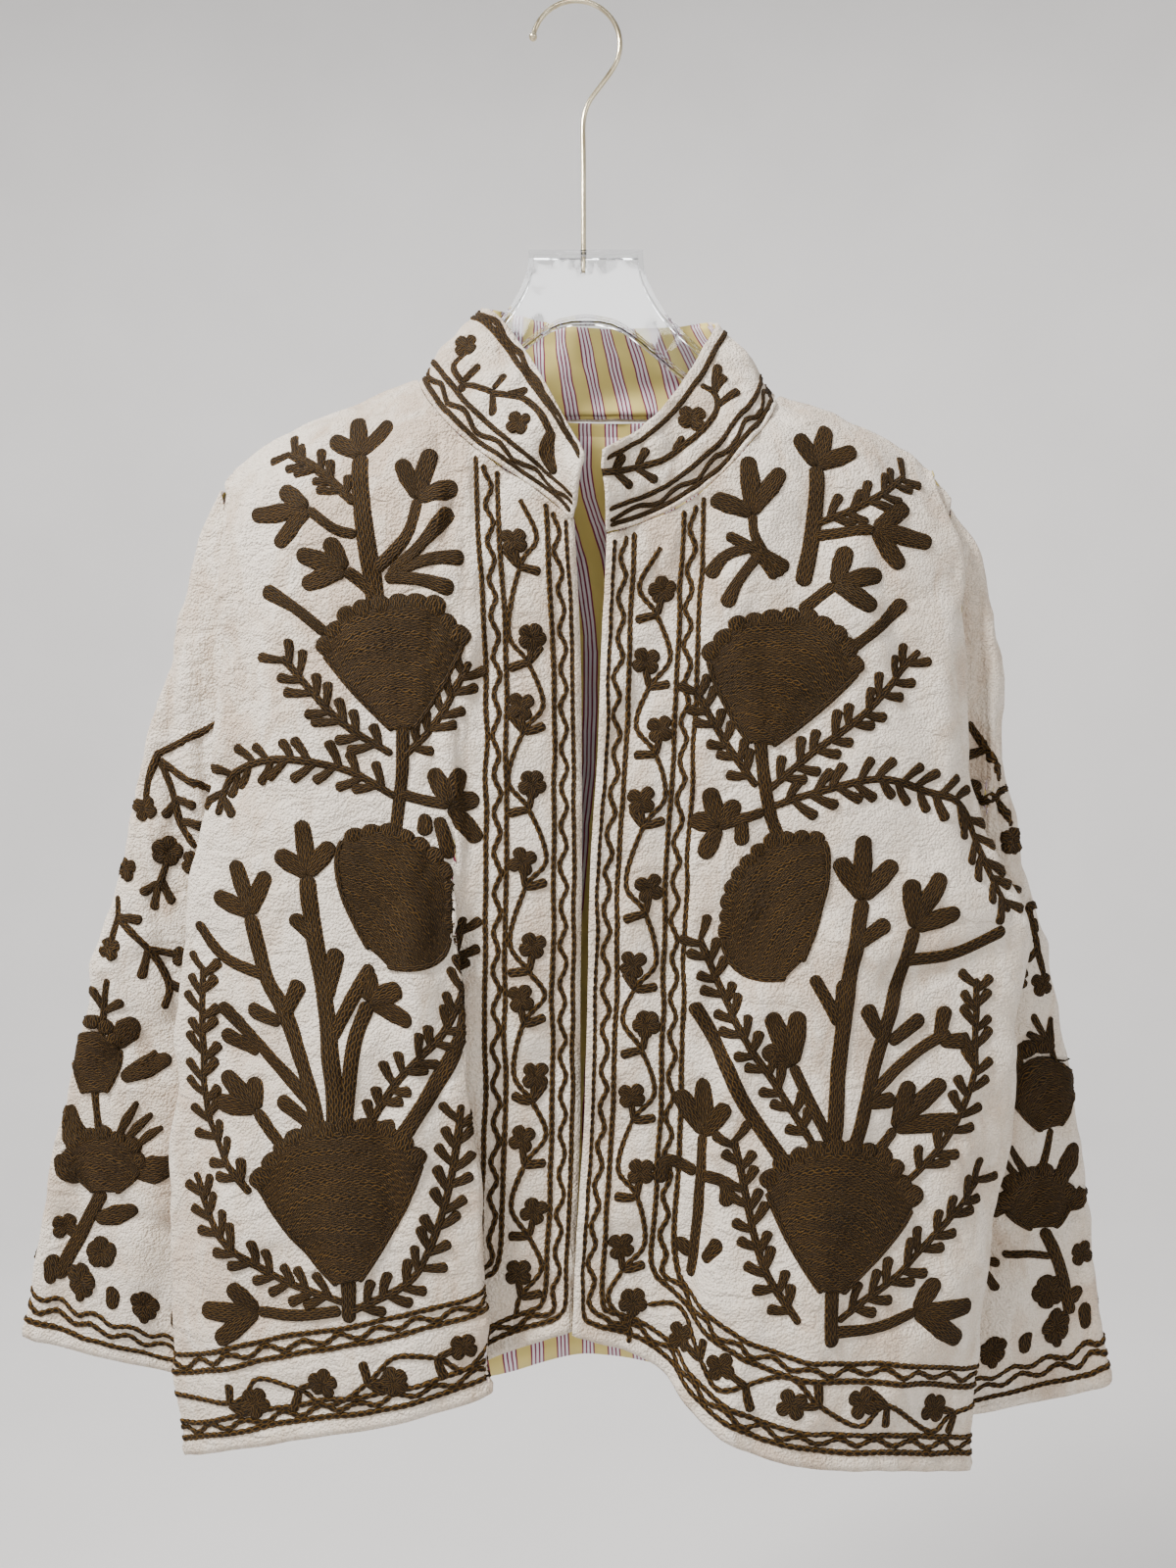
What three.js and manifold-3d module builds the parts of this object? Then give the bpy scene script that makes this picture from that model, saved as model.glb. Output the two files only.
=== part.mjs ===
// An open-fronted velvet jacket on a clear hanger. Millimetres, +Z up, the front faces -Y.
// The origin is the inner top of the hanger's hook, where it rests on a rail.
// "left" and "right" are the wearer's: the wearer's right side lies on -X.
import * as THREE from "three";
import { mergeVertices } from "three/addons/utils/BufferGeometryUtils.js";
import Module from "manifold-3d";

const wasm = await Module();
wasm.setup();

// ---- driving dimensions ----
const wall = 2.0; // velvet with its backing
const liningWall = 1.0; // striped cotton
const seamGap = 0.3; // between sewn pieces
const shoulderRoll = 28; // how fast a front falls away from the shoulder ridge
const backRoll = 13;
const collarWall = 2.2;
const liningInset = 4.2; // back lining, in front of the back panel
const hookRadius = 28.8; // centre line of the hook's bend
const wireRadius = 1.7;
const hangerCentre = 6.3; // x of the hanger's middle
const hangerDepth = 9; // rim and arms, along Y
const webDepth = 3; // clear plate inside the rim
const plateTop = -163;
const hookShaftX = 4.8; // x of the wire where it runs down into the plate

// a table's rows as objects, from the names of its columns and one list of numbers for each row
function table(names, rows) {
  const keys = names.split(" ");
  return rows.map((row) => Object.fromEntries(keys.map((key, i) => [key, row[i]])));
}

// ---- colours ----
const velvet = { color: 0xece1d3, roughness: 0.85, metalness: 0 };
const cotton = { color: 0xe4cf7a, roughness: 0.9, metalness: 0 };
const acrylic = { color: 0xdfe4e8, roughness: 0.08, metalness: 0 };
const brass = { color: 0xcbbd95, roughness: 0.25, metalness: 1 };

// ---- front panels: one row for each level, from the shoulder to the hem ----
// edge: centre edge. valley and crest: the two bends of the long fold. neck: below the neck point.
// mid: middle of the outer half. side: the fold at the side. seam: armhole, then side seam.
const frontRight = table(
  "z edgeX edgeY valleyX valleyY crestX crestY neckX neckY midX midY sideX sideY seamX seamY", [
  [-240, -2, -46, -56, -45, -78, -44, -103, -42, -164, -38, -212, -22, -231, -3],
  [-320, -2, -46, -56, -45, -78, -44, -103, -42, -166, -38, -217, -24, -228, -5],
  [-360, 0, -43, -57, -44, -78, -44, -104, -43, -168, -40, -220, -27, -216, -9],
  [-420, 3, -39, -58, -43, -79, -45, -106, -45, -168, -42, -219, -28, -212, -11],
  [-500, 4, -38, -60, -43, -79, -46, -108, -48, -170, -45, -223, -29, -211, -8],
  [-560, 4, -38, -64, -43, -77, -48, -110, -51, -174, -47, -238, -30, -213, -4],
  [-640, 3, -38, -70, -41, -71, -52, -112, -57, -180, -50, -246, -30, -219, -3],
  [-720, 3, -37, -70, -39, -64, -55, -110, -60, -182, -53, -249, -31, -224, -3],
  [-800, 0, -36, -66, -38, -57, -56, -106, -62, -182, -55, -250, -32, -226, -3],
  [-880, -3, -36, -63, -39, -51, -57, -103, -63, -180, -56, -247, -34, -224, -3],
  [-945, -4, -36, -62, -39, -50, -57, -102, -63, -176, -56, -238, -36, -218, -3],
]);
const frontLeft = table(
  "z edgeX edgeY valleyX valleyY crestX crestY neckX neckY midX midY sideX sideY seamX seamY", [
  [-240, 20, -46, 60, -45, 92, -44, 131, -42, 182, -38, 222, -22, 246, -3],
  [-320, 20, -46, 60, -45, 92, -44, 131, -42, 184, -38, 228, -24, 244, -5],
  [-360, 19, -45, 60, -45, 92, -45, 131, -44, 188, -40, 241, -27, 236, -8],
  [-420, 16, -43, 59, -45, 92, -47, 130, -48, 188, -46, 242, -28, 232, -10],
  [-500, 13, -42, 58, -45, 90, -48, 130, -52, 190, -49, 245, -30, 232, -8],
  [-560, 9, -42, 57, -46, 89, -50, 130, -54, 194, -51, 263, -32, 238, -4],
  [-600, 8, -42, 57, -46, 88, -51, 130, -56, 198, -52, 280, -33, 246, -3],
  [-650, 7, -42, 56, -46, 88, -53, 130, -58, 196, -54, 274, -33, 246, -3],
  [-720, 5, -42, 54, -45, 87, -55, 130, -60, 194, -56, 269, -33, 238, -3],
  [-800, 0, -43, 50, -43, 84, -60, 128, -64, 192, -59, 256, -34, 230, -3],
  [-880, -3, -43, 46, -41, 80, -65, 126, -69, 190, -62, 248, -36, 224, -3],
  [-945, -4, -43, 45, -40, 79, -66, 125, -70, 188, -62, 241, -38, 220, -3],
]);
const frontColumns = ["edge", "valley", "crest", "neck", "mid", "side", "turn", "seam"];
const turnOut = 0.35; // where the side's turn lies between side and seam, along X
const turnBack = 0.45; // and along Y

// hem height under each of those columns
const hemRight = [-850, -872, -880, -893, -909, -928, -930, -926];
const hemLeft = [-850, -868, -896, -915, -923, -936, -937, -932];

// neckline and shoulder ridge, as height over x
const neckRight = table("x z", [
  [-110, -226], [-103, -246], [-98, -260], [-84, -281], [-66, -299], [-49, -312], [-32, -323],
  [-16, -335], [6, -352],
]);
const neckLeft = table("x z", [
  [10, -360], [20, -356], [42, -349], [62, -340], [82, -326], [98, -311], [112, -294], [125, -275],
  [131, -256], [137, -238],
]);
const ridge = table("x z", [
  [-236, -325], [-229, -315], [-222, -306], [-207, -293], [-184, -281], [-152, -267], [-120, -254],
  [-103, -247], [-60, -236], [6, -228], [70, -238], [131, -257], [167, -270], [199, -284], [222, -298],
  [236, -312], [244, -325], [252, -340],
]);
const neckPointRight = -103; // x where the neckline meets the shoulder ridge
const neckPointLeft = 131;
const backNeck = table("x z", [
  [-110, -240], [-103, -248], [-80, -255], [-45, -262], [12, -266], [70, -265], [107, -261],
  [131, -258], [138, -252],
]);

// ---- back panel: seams, corners and middle at each level ----
const backRows = table(
  "z seamRightX seamRightY cornerRightX cornerRightY middleY cornerLeftX cornerLeftY"
  + " seamLeftX seamLeftY waves", [
  [-240, -231, 3, -196, 20, 31, 208, 20, 246, 3, 0],
  [-320, -228, 5, -196, 21, 30, 210, 21, 244, 5, 0.6],
  [-360, -217, 9, -194, 22, 28, 212, 22, 236, 9, 1.2],
  [-420, -212, 13, -190, 22, 26, 212, 22, 232, 13, 2],
  [-500, -211, 8, -190, 20, 25, 211, 20, 232, 8, 3],
  [-560, -213, 0, -192, 17, 25, 217, 17, 238, 0, 4],
  [-640, -219, -0.6, -198, 15, 24, 226, 15, 246, -0.6, 5],
  [-720, -224, -0.6, -202, 15, 24, 217, 15, 238, -0.6, 5.5],
  [-800, -226, -0.6, -203, 15, 23, 208, 15, 230, -0.6, 6],
  [-880, -224, -0.6, -201, 15, 22, 203, 15, 224, -0.6, 6.5],
  [-945, -218, -0.6, -196, 15, 22, 200, 15, 220, -0.6, 6.5],
]);
const backHem = table("x z", [
  [-240, -922], [-150, -915], [-70, -907], [-40, -899], [0, -893], [40, -897], [110, -909],
  [240, -926],
]);
const backMiddleX = [-100, 8, 116]; // x of the three columns between the corners
const backWaves = 4.5; // vertical waves across the back
const wavePhase = 0.6;
const liningHemRise = 1; // the lining's hem above the back's
const liningTop = 10; // the lining starts this far below the ridge
const liningSpan = [0.12, 0.88]; // shares of the back's width between which the lining runs

// ---- sleeves: outer and inner edge of the flattened tube at stations down the arm ----
// s runs from the armhole, 0, to the cuff, 1
const sleeveRight = table("s outX outY outZ inX inY inZ half", [
  [0, -232, 0, -319, -213.5, 3, -547, 15],
  [0.06, -246, 0, -352, -221, 9, -563, 14],
  [0.14, -256, 1, -400, -231, 16, -584, 13],
  [0.26, -271, 3, -458, -240, 20, -620, 12],
  [0.42, -295, 7, -545, -243, 24, -680, 12],
  [0.6, -321, 12, -648, -240, 27, -752, 12],
  [0.8, -349, 17, -764, -232, 29, -836, 12],
  [1, -368, 20, -877, -224, 30, -914, 11],
]);
const sleeveLeft = table("s outX outY outZ inX inY inZ half", [
  [0, 247, 0, -330, 234.5, 3, -547, 15],
  [0.06, 264, 0, -362, 247, 10, -562, 16],
  [0.14, 269, 1, -408, 262, 17, -584, 18],
  [0.26, 273, 3, -468, 268, 22, -622, 19],
  [0.42, 292, 7, -554, 268, 26, -684, 19],
  [0.6, 316, 12, -650, 253, 28, -762, 18],
  [0.8, 338, 17, -772, 233, 30, -854, 17],
  [1, 357, 20, -907, 212, 31, -940, 15],
]);
const armholeTop = { right: -319, left: -330 };
const armholeFoot = -547;
const armholeGap = 1.9; // from the body's seam line to the sleeve's wall
const armholeBlend = 0.07; // share of the sleeve over which the armhole's shape fades

// ---- collar: top edge at stations along the band. w is 0 at the right front end, 1 and 2 at the
// two neck points, and 3 at the left front end ----
const collarTop = table("w x y z", [
  [0, 6, -62, -311],
  [0.22, -9, -50, -281],
  [0.45, -23, -36, -253],
  [0.65, -36, -23, -229],
  [0.83, -50, -11, -209],
  [1, -63, 4, -197],
  [1.2, -50, 20, -194.5],
  [1.4, -20, 27.5, -199],
  [1.6, 22, 29, -203],
  [1.8, 64, 25, -203],
  [2, 91, 8, -206],
  [2.2, 83, -9, -226],
  [2.45, 68, -24, -254],
  [2.72, 46, -41, -285],
  [3, 16, -59, -308],
]);
const collarLift = 1.6; // the band's foot above the neckline's edge
const collarBulge = 2.5; // outward, halfway up
const tipCrease = 7; // how far the right tip's crease goes in
const creasePlace = 0.22;
const creaseLean = 0.18; // how far it leans towards the tip on its way up
const creaseWidth = 0.09;
const creaseReach = 0.4; // it has faded out here
const neckMiddleX = 14; // the collar bulges away from this point
const neckMiddleY = -8;
const collarLiningInset = 2.1;

// ---- hanger: half outline, r is the distance from its middle ----
const hangerUpper = table("r z", [
  [37, -163], [38, -176], [42.5, -188], [48, -198], [54.5, -207], [64, -217], [78, -230], [93, -246],
  [108, -259.5], [126, -266.5], [158, -279], [188, -292], [203, -301],
]);
const hangerLower = table("r z", [
  [205, -307], [199, -310], [186, -308], [158, -298], [126, -286], [90, -264], [64, -246], [45, -230],
  [30, -218], [17, -211], [0, -208],
]);
const rimWidth = 3.2;
const rimFlange = 8;
const pocketReach = 100; // the web ends this far from the hanger's middle
const shaftDepth = 14; // how far the wire runs into the plate
const ballRadius = 2.9; // at the hook's tip
const bendStart = 168; // degrees from +X, at the ball
const bendEnd = -28; // where the bend turns towards the shaft
const bendStep = 14;
// x and z of the wire below its bend
const hookNeck = [[14.5, -56], [8, -65], [hookShaftX, -76], [hookShaftX, -100], [hookShaftX, -140]];

// ---- curves ----
// between p1 and p2 at share t, with the slopes m1 and m2
function hermite(t, p1, m1, p2, m2) {
  const t2 = t * t;
  const t3 = t2 * t;
  const start = (2 * t3 - 3 * t2 + 1) * p1 + (t3 - 2 * t2 + t) * m1;
  return start + (3 * t2 - 2 * t3) * p2 + (t3 - t2) * m2;
}

// smooth value at the place u along a list of values that stand at 0, 1, 2 and so on
function spline(values, u) {
  const last = values.length - 1;
  const i = Math.min(Math.floor(u), last - 1);
  const p1 = values[i];
  const p2 = values[i + 1];
  const p0 = i > 0 ? values[i - 1] : 2 * p1 - p2;
  const p3 = i + 2 <= last ? values[i + 2] : 2 * p2 - p1;
  const m1 = (p2 - p0) / 2;
  const m2 = (p3 - p1) / 2;
  return hermite(u - i, p1, m1, p2, m2);
}

// smooth value of a named column, at any place along a table that is ordered by its key
function along(table, key, place, name) {
  const up = table[table.length - 1][key] > table[0][key];
  const rows = up ? table : [...table].reverse();
  const last = rows.length - 1;
  if (place <= rows[0][key]) return rows[0][name];
  if (place >= rows[last][key]) return rows[last][name];
  let i = 0;
  while (rows[i + 1][key] < place) i++;
  const slope = (a, b) => (rows[b][name] - rows[a][name]) / (rows[b][key] - rows[a][key]);
  const step = rows[i + 1][key] - rows[i][key];
  const m1 = i > 0 ? (slope(i - 1, i) + slope(i, i + 1)) / 2 : slope(i, i + 1);
  const m2 = i + 2 <= last ? (slope(i, i + 1) + slope(i + 1, i + 2)) / 2 : slope(i, i + 1);
  const t = (place - rows[i][key]) / step;
  return hermite(t, rows[i][name], step * m1, rows[i + 1][name], step * m2);
}

const heightAt = (table, x) => along(table, "x", x, "z");
const fallFrom = (top, z, roll) => 1 - Math.exp(-Math.max(top - z, 0) / roll);
// a panel's middle from the ridge plane, so that the inner faces stand a seam's gap apart there
const ridgeOffset = (slope) => seamGap * 0.6 + wall / 2 / Math.hypot(1, slope);

// ---- cloth surfaces ----
function frontControl(panel, column, z) {
  if (column !== "turn") {
    return { x: along(panel, "z", z, `${column}X`), y: along(panel, "z", z, `${column}Y`) };
  }
  const side = frontControl(panel, "side", z);
  const seam = frontControl(panel, "seam", z);
  return { x: side.x + (seam.x - side.x) * turnOut, y: side.y + (seam.y - side.y) * turnBack };
}

function frontAt(panel, u, z) {
  const controls = frontColumns.map((column) => frontControl(panel, column, z));
  const x = spline(controls.map((c) => c.x), u);
  const y = spline(controls.map((c) => c.y), u);
  const fall = fallFrom(heightAt(ridge, x), z, shoulderRoll);
  return new THREE.Vector3(x, y * fall - ridgeOffset(y / shoulderRoll), z);
}

// the top edge: the neckline up to the neck point, and then the shoulder ridge
function frontTop(panel, neck, u) {
  let z = -300;
  for (let pass = 0; pass < 12; pass++) {
    const x = frontAt(panel, u, z).x;
    z = u < frontColumns.indexOf("neck") ? heightAt(neck, x) : heightAt(ridge, x);
  }
  return z;
}

function frontPoint(panel, neck, hem, u, t) {
  return frontAt(panel, u, THREE.MathUtils.lerp(spline(hem, u), frontTop(panel, neck, u), t));
}

function backAt(u, z) {
  const row = (name) => along(backRows, "z", z, name);
  const xs = [
    row("seamRightX"), row("cornerRightX"), ...backMiddleX, row("cornerLeftX"), row("seamLeftX"),
  ];
  const middle = row("middleY");
  const cornerRight = row("cornerRightY");
  const cornerLeft = row("cornerLeftY");
  const ys = [
    row("seamRightY"), cornerRight, (middle * 3 + cornerRight) / 4, middle, (middle * 3 + cornerLeft) / 4,
    cornerLeft, row("seamLeftY"),
  ];
  const x = spline(xs, u * 6);
  const inside = Math.sin(Math.PI * u) ** 0.7;
  const wave = row("waves") * inside * Math.cos((u * backWaves + wavePhase) * 2 * Math.PI);
  const fall = fallFrom(heightAt(ridge, x), z, backRoll);
  const depth = spline(ys, u * 6) + wave;
  return new THREE.Vector3(x, depth * fall + ridgeOffset(depth / backRoll), z);
}

function backTop(u) {
  let z = -260;
  for (let pass = 0; pass < 8; pass++) {
    const x = backAt(u, z).x;
    const atNeck = x > neckPointRight && x < neckPointLeft;
    z = Math.min(heightAt(ridge, x), atNeck ? heightAt(backNeck, x) : 0);
  }
  return z;
}

function backPoint(u, t, topDrop = 0, hemRise = 0) {
  const top = backTop(u) - topDrop;
  const foot = heightAt(backHem, backAt(u, -900).x) + hemRise;
  return backAt(u, THREE.MathUtils.lerp(foot, top, t));
}

// how far across and how far forward a ring's point lies: the edges are rounder than the flats
function ringShares(angle) {
  const round = (value, power) => Math.sign(value) * Math.abs(value) ** power;
  return { across: round(Math.cos(angle), 0.85), forward: round(Math.sin(angle), 0.8) };
}

function sleeveTube(sleeve, s, { across, forward }) {
  const at = (name) => along(sleeve, "s", s, name);
  const between = (axis) => THREE.MathUtils.lerp(at(`in${axis}`), at(`out${axis}`), (1 + across) / 2);
  return new THREE.Vector3(between("X"), between("Y") - at("half") * forward, between("Z"));
}

// the armhole's own shape: the front's seam before, the back's behind
function armholePoint(side, { across, forward }) {
  const z = THREE.MathUtils.lerp(armholeFoot, armholeTop[side], (1 + across) / 2);
  const outward = side === "right" ? -armholeGap : armholeGap;
  if (forward > 0) {
    const seam = frontControl(side === "right" ? frontRight : frontLeft, "seam", z);
    return new THREE.Vector3(seam.x + outward, seam.y, z);
  }
  const name = side === "right" ? "seamRight" : "seamLeft";
  return new THREE.Vector3(
    along(backRows, "z", z, `${name}X`) + outward, along(backRows, "z", z, `${name}Y`), z,
  );
}

function sleeveRing(sleeve, side, s, angle) {
  const shares = ringShares(angle);
  const point = sleeveTube(sleeve, s, shares);
  const fade = Math.exp(-s / armholeBlend) * (1 - s);
  return point.addScaledVector(armholePoint(side, shares).sub(sleeveTube(sleeve, 0, shares)), fade);
}

// ---- walls ----
function gridNormals(grid, ring) {
  const rows = grid.length;
  const cols = grid[0].length;
  return grid.map((line, i) => line.map((_, j) => {
    const up = grid[Math.min(i + 1, rows - 1)][j].clone().sub(grid[Math.max(i - 1, 0)][j]);
    const next = ring ? (j + 1) % cols : Math.min(j + 1, cols - 1);
    const before = ring ? (j + cols - 1) % cols : Math.max(j - 1, 0);
    return grid[i][next].clone().sub(grid[i][before]).cross(up).normalize();
  }));
}

// a closed wall between two copies of a grid, moved to either side along its normals
function wallMesh(grid, thickness, ring = false, shift = 0) {
  const normals = gridNormals(grid, ring);
  const rows = grid.length;
  const cols = grid[0].length;
  const positions = [];
  for (const side of [shift + thickness / 2, shift - thickness / 2]) {
    grid.forEach((line, i) => line.forEach((p, j) => {
      const q = p.clone().addScaledVector(normals[i][j], side);
      positions.push(q.x, q.y, q.z);
    }));
  }
  const id = (layer, i, j) => layer * rows * cols + i * cols + (j % cols);
  const index = [];
  const quad = (a, b, c, d) => index.push(a, b, c, a, c, d);
  const span = ring ? cols : cols - 1;
  for (let i = 0; i < rows - 1; i++) {
    for (let j = 0; j < span; j++) {
      quad(id(0, i, j), id(0, i, j + 1), id(0, i + 1, j + 1), id(0, i + 1, j));
      quad(id(1, i, j), id(1, i + 1, j), id(1, i + 1, j + 1), id(1, i, j + 1));
    }
  }
  for (let j = 0; j < span; j++) {
    quad(id(0, 0, j), id(1, 0, j), id(1, 0, j + 1), id(0, 0, j + 1));
    quad(id(0, rows - 1, j), id(0, rows - 1, j + 1), id(1, rows - 1, j + 1), id(1, rows - 1, j));
  }
  if (!ring) {
    for (let i = 0; i < rows - 1; i++) {
      quad(id(0, i, 0), id(0, i + 1, 0), id(1, i + 1, 0), id(1, i, 0));
      quad(id(0, i, cols - 1), id(1, i, cols - 1), id(1, i + 1, cols - 1), id(0, i + 1, cols - 1));
    }
  }
  return facingOut(positions, index);
}

function facingOut(positions, index) {
  let volume = 0;
  const at = (k) => new THREE.Vector3(positions[3 * k], positions[3 * k + 1], positions[3 * k + 2]);
  for (let k = 0; k < index.length; k += 3) {
    volume += at(index[k]).dot(at(index[k + 1]).cross(at(index[k + 2])));
  }
  if (volume < 0) index.reverse();
  const geometry = new THREE.BufferGeometry();
  geometry.setAttribute("position", new THREE.Float32BufferAttribute(positions, 3));
  geometry.setIndex(index);
  return geometry;
}

const steps = (count) => Array.from({ length: count + 1 }, (_, i) => i / count);
const easedRows = (count) => steps(count).map((t) => 1 - (1 - t) ** 1.5); // closer together at the top

// columns of a front: each stretch between two controls gets its own number of steps
function frontSteps(counts) {
  const places = [0];
  counts.forEach((count, stretch) => {
    for (let k = 1; k <= count; k++) places.push(stretch + k / count);
  });
  return places;
}

function frontMesh(panel, neck, hem) {
  const columns = frontSteps([4, 3, 4, 4, 5, 2, 2]);
  return wallMesh(easedRows(17).map((t) => columns.map((u) => frontPoint(panel, neck, hem, u, t))), wall);
}

function backMesh() {
  return wallMesh(easedRows(14).map((t) => steps(30).map((u) => backPoint(u, t))), wall);
}

function backLiningMesh() {
  const shares = steps(20).map((u) => THREE.MathUtils.lerp(...liningSpan, u));
  const grid = easedRows(10).map((t) => shares.map((u) => backPoint(u, t, liningTop, liningHemRise)));
  return wallMesh(grid, liningWall, false, liningInset * liningSide(grid));
}

// +1 or -1, whichever way along the grid's normals points to the front
const liningSide = (grid) => (gridNormals(grid, false)[5][5].y < 0 ? 1 : -1);

function sleeveMesh(sleeve, side) {
  const stations = steps(14).map((t) => t ** 1.35);
  const angles = steps(20).slice(0, -1).map((t) => t * 2 * Math.PI);
  return wallMesh(stations.map((s) => angles.map((a) => sleeveRing(sleeve, side, s, a))), wall, true);
}

// ---- collar ----
// places spread evenly by length along a path of points
function evenly(points) {
  const reach = [0];
  for (let i = 1; i < points.length; i++) reach.push(reach[i - 1] + points[i].distanceTo(points[i - 1]));
  return (share) => {
    const want = share * reach[reach.length - 1];
    let i = 0;
    while (i < points.length - 2 && reach[i + 1] < want) i++;
    return points[i].clone().lerp(points[i + 1], (want - reach[i]) / (reach[i + 1] - reach[i]));
  };
}

// the place across the back whose neckline has this x
function backShare(x) {
  let low = 0;
  let high = 1;
  for (let pass = 0; pass < 24; pass++) {
    const middle = (low + high) / 2;
    if (backAt(middle, heightAt(backNeck, x)).x < x) low = middle;
    else high = middle;
  }
  return low;
}

const neckEnds = [backShare(neckPointRight), backShare(neckPointLeft)];
const neckPaths = [
  evenly(steps(48).map((t) => frontPoint(frontRight, neckRight, hemRight, 3 * t, 1))),
  evenly(steps(48).map((t) => backPoint(THREE.MathUtils.lerp(...neckEnds, t), 1))),
  evenly(steps(48).map((t) => frontPoint(frontLeft, neckLeft, hemLeft, 3 * (1 - t), 1))),
];

function collarPoint(w, h) {
  const third = Math.min(Math.floor(w), 2);
  const foot = neckPaths[third](w - third);
  const top = new THREE.Vector3(...["x", "y", "z"].map((name) => along(collarTop, "w", w, name)));
  foot.addScaledVector(top.clone().sub(foot).normalize(), collarLift);
  const point = foot.lerp(top, h);
  const outward = new THREE.Vector3(point.x - neckMiddleX, point.y - neckMiddleY, 0).normalize();
  point.addScaledVector(outward, collarBulge * Math.sin(Math.PI * h));
  const fromCrease = (w - creasePlace + creaseLean * h) / creaseWidth;
  const depth = Math.exp(-(fromCrease ** 2)) * (0.35 + 0.65 * h); // deepest at the top edge
  point.y += tipCrease * depth * Math.sin(Math.PI * Math.min(w / creaseReach, 1));
  return point;
}

const collarSteps = steps(48).map((t) => 3 * t);
const collarLiningSpan = [0.75, 2.3];
const collarLiningRows = [0.04, 0.3, 0.55, 0.8, 0.97]; // shares of the band's height

function collarMesh() {
  return wallMesh(steps(4).map((h) => collarSteps.map((w) => collarPoint(w, h))), collarWall);
}

// the lining of the part that stands behind the neck
function collarLiningMesh() {
  const places = collarSteps.filter((w) => w > collarLiningSpan[0] && w < collarLiningSpan[1]);
  const grid = collarLiningRows.map((h) => places.map((w) => collarPoint(w, h)));
  const inward = gridNormals(grid, false)[2][Math.floor(places.length / 2)].y > 0 ? -1 : 1;
  return wallMesh(grid, liningWall, false, collarLiningInset * inward);
}

// ---- hanger ----
function solidOf(geometry) {
  geometry.deleteAttribute("normal");
  geometry.deleteAttribute("uv");
  const merged = mergeVertices(geometry);
  return new wasm.Manifold(new wasm.Mesh({
    numProp: 3,
    vertProperties: Float32Array.from(merged.attributes.position.array),
    triVerts: Uint32Array.from(merged.index.array),
  }));
}

function geometryOf(solid) {
  const mesh = solid.getMesh();
  const geometry = new THREE.BufferGeometry();
  geometry.setAttribute("position", new THREE.Float32BufferAttribute(mesh.vertProperties, 3));
  geometry.setIndex(Array.from(mesh.triVerts));
  return geometry;
}

// an outline in the XZ plane, extruded equally to both sides of it
function slab(outline, depth) {
  const shape = new THREE.Shape(outline.map((p) => new THREE.Vector2(p.x, p.z)));
  const geometry = new THREE.ExtrudeGeometry(shape, { depth, bevelEnabled: false });
  geometry.rotateX(Math.PI / 2);
  geometry.translate(0, depth / 2, 0);
  return solidOf(geometry);
}

// places along a smooth curve through the rows of a half outline
function halfCurve(rows, perRow) {
  const count = (rows.length - 1) * perRow;
  return steps(count).map((t) => ({
    r: spline(rows.map((row) => row.r), t * (rows.length - 1)),
    z: spline(rows.map((row) => row.z), t * (rows.length - 1)),
  }));
}

// a closed outline from the half of it on the +X side
function bothSides(half) {
  const right = half.map((p) => ({ x: hangerCentre + p.r, z: p.z }));
  const left = half.map((p) => ({ x: hangerCentre - p.r, z: p.z })).reverse();
  return [...left, ...right];
}

function hangerMesh() {
  const upper = halfCurve(hangerUpper, 2);
  const lower = halfCurve(hangerLower, 2).slice(0, -1);
  const full = slab(bothSides([...upper, ...lower]), hangerDepth);
  // pockets in both faces of the plate leave a thin web inside the rim
  const pocketUpper = upper.filter((p) => p.r < pocketReach);
  const pocketLower = lower.filter((p) => p.r < pocketReach - 2 * rimFlange);
  const pocket = bothSides([
    { r: 0, z: hangerLower.at(-1).z + rimWidth },
    ...pocketLower.map((p) => ({ r: p.r, z: p.z + rimWidth })).reverse(),
    ...pocketUpper.map((p) => ({ r: p.r - rimWidth, z: Math.min(p.z, plateTop - rimWidth) })).reverse(),
  ]);
  const pockets = slab(pocket, hangerDepth).subtract(slab(pocket, webDepth));
  const bore = new THREE.CylinderGeometry(wireRadius + seamGap, wireRadius + seamGap, 2 * shaftDepth, 16);
  bore.rotateX(Math.PI / 2);
  bore.translate(hookShaftX, 0, plateTop);
  return geometryOf(full.subtract(pockets).subtract(solidOf(bore)));
}

// a ring of the bend, by its angle in degrees from +X
function bendPoint(degrees) {
  const angle = THREE.MathUtils.degToRad(degrees);
  const middleZ = wireRadius - hookRadius;
  return [hookRadius * Math.cos(angle), middleZ + hookRadius * Math.sin(angle)];
}

function hookMesh() {
  const bend = [];
  for (let degrees = bendStart; degrees >= bendEnd; degrees -= bendStep) bend.push(bendPoint(degrees));
  const route = [...bend, ...hookNeck, [hookShaftX, plateTop - shaftDepth + 2 * seamGap]];
  const path = new THREE.CatmullRomCurve3(
    route.map(([x, z]) => new THREE.Vector3(x, 0, z)), false, "centripetal",
  );
  const section = new THREE.Shape();
  section.absarc(0, 0, wireRadius, 0, 2 * Math.PI);
  const options = { steps: 44, curveSegments: 5, extrudePath: path, bevelEnabled: false };
  const ball = new THREE.SphereGeometry(ballRadius, 10, 7);
  ball.translate(bend[0][0], 0, bend[0][1] - 1);
  return geometryOf(solidOf(new THREE.ExtrudeGeometry(section, options)).add(solidOf(ball)));
}

// ---- the part ----
const part = new THREE.Group();
part.name = "suzani_jacket";
function add(name, geometry, finish) {
  const mesh = new THREE.Mesh(geometry, new THREE.MeshStandardMaterial({ ...finish, name }));
  mesh.name = name;
  part.add(mesh);
}

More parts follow.
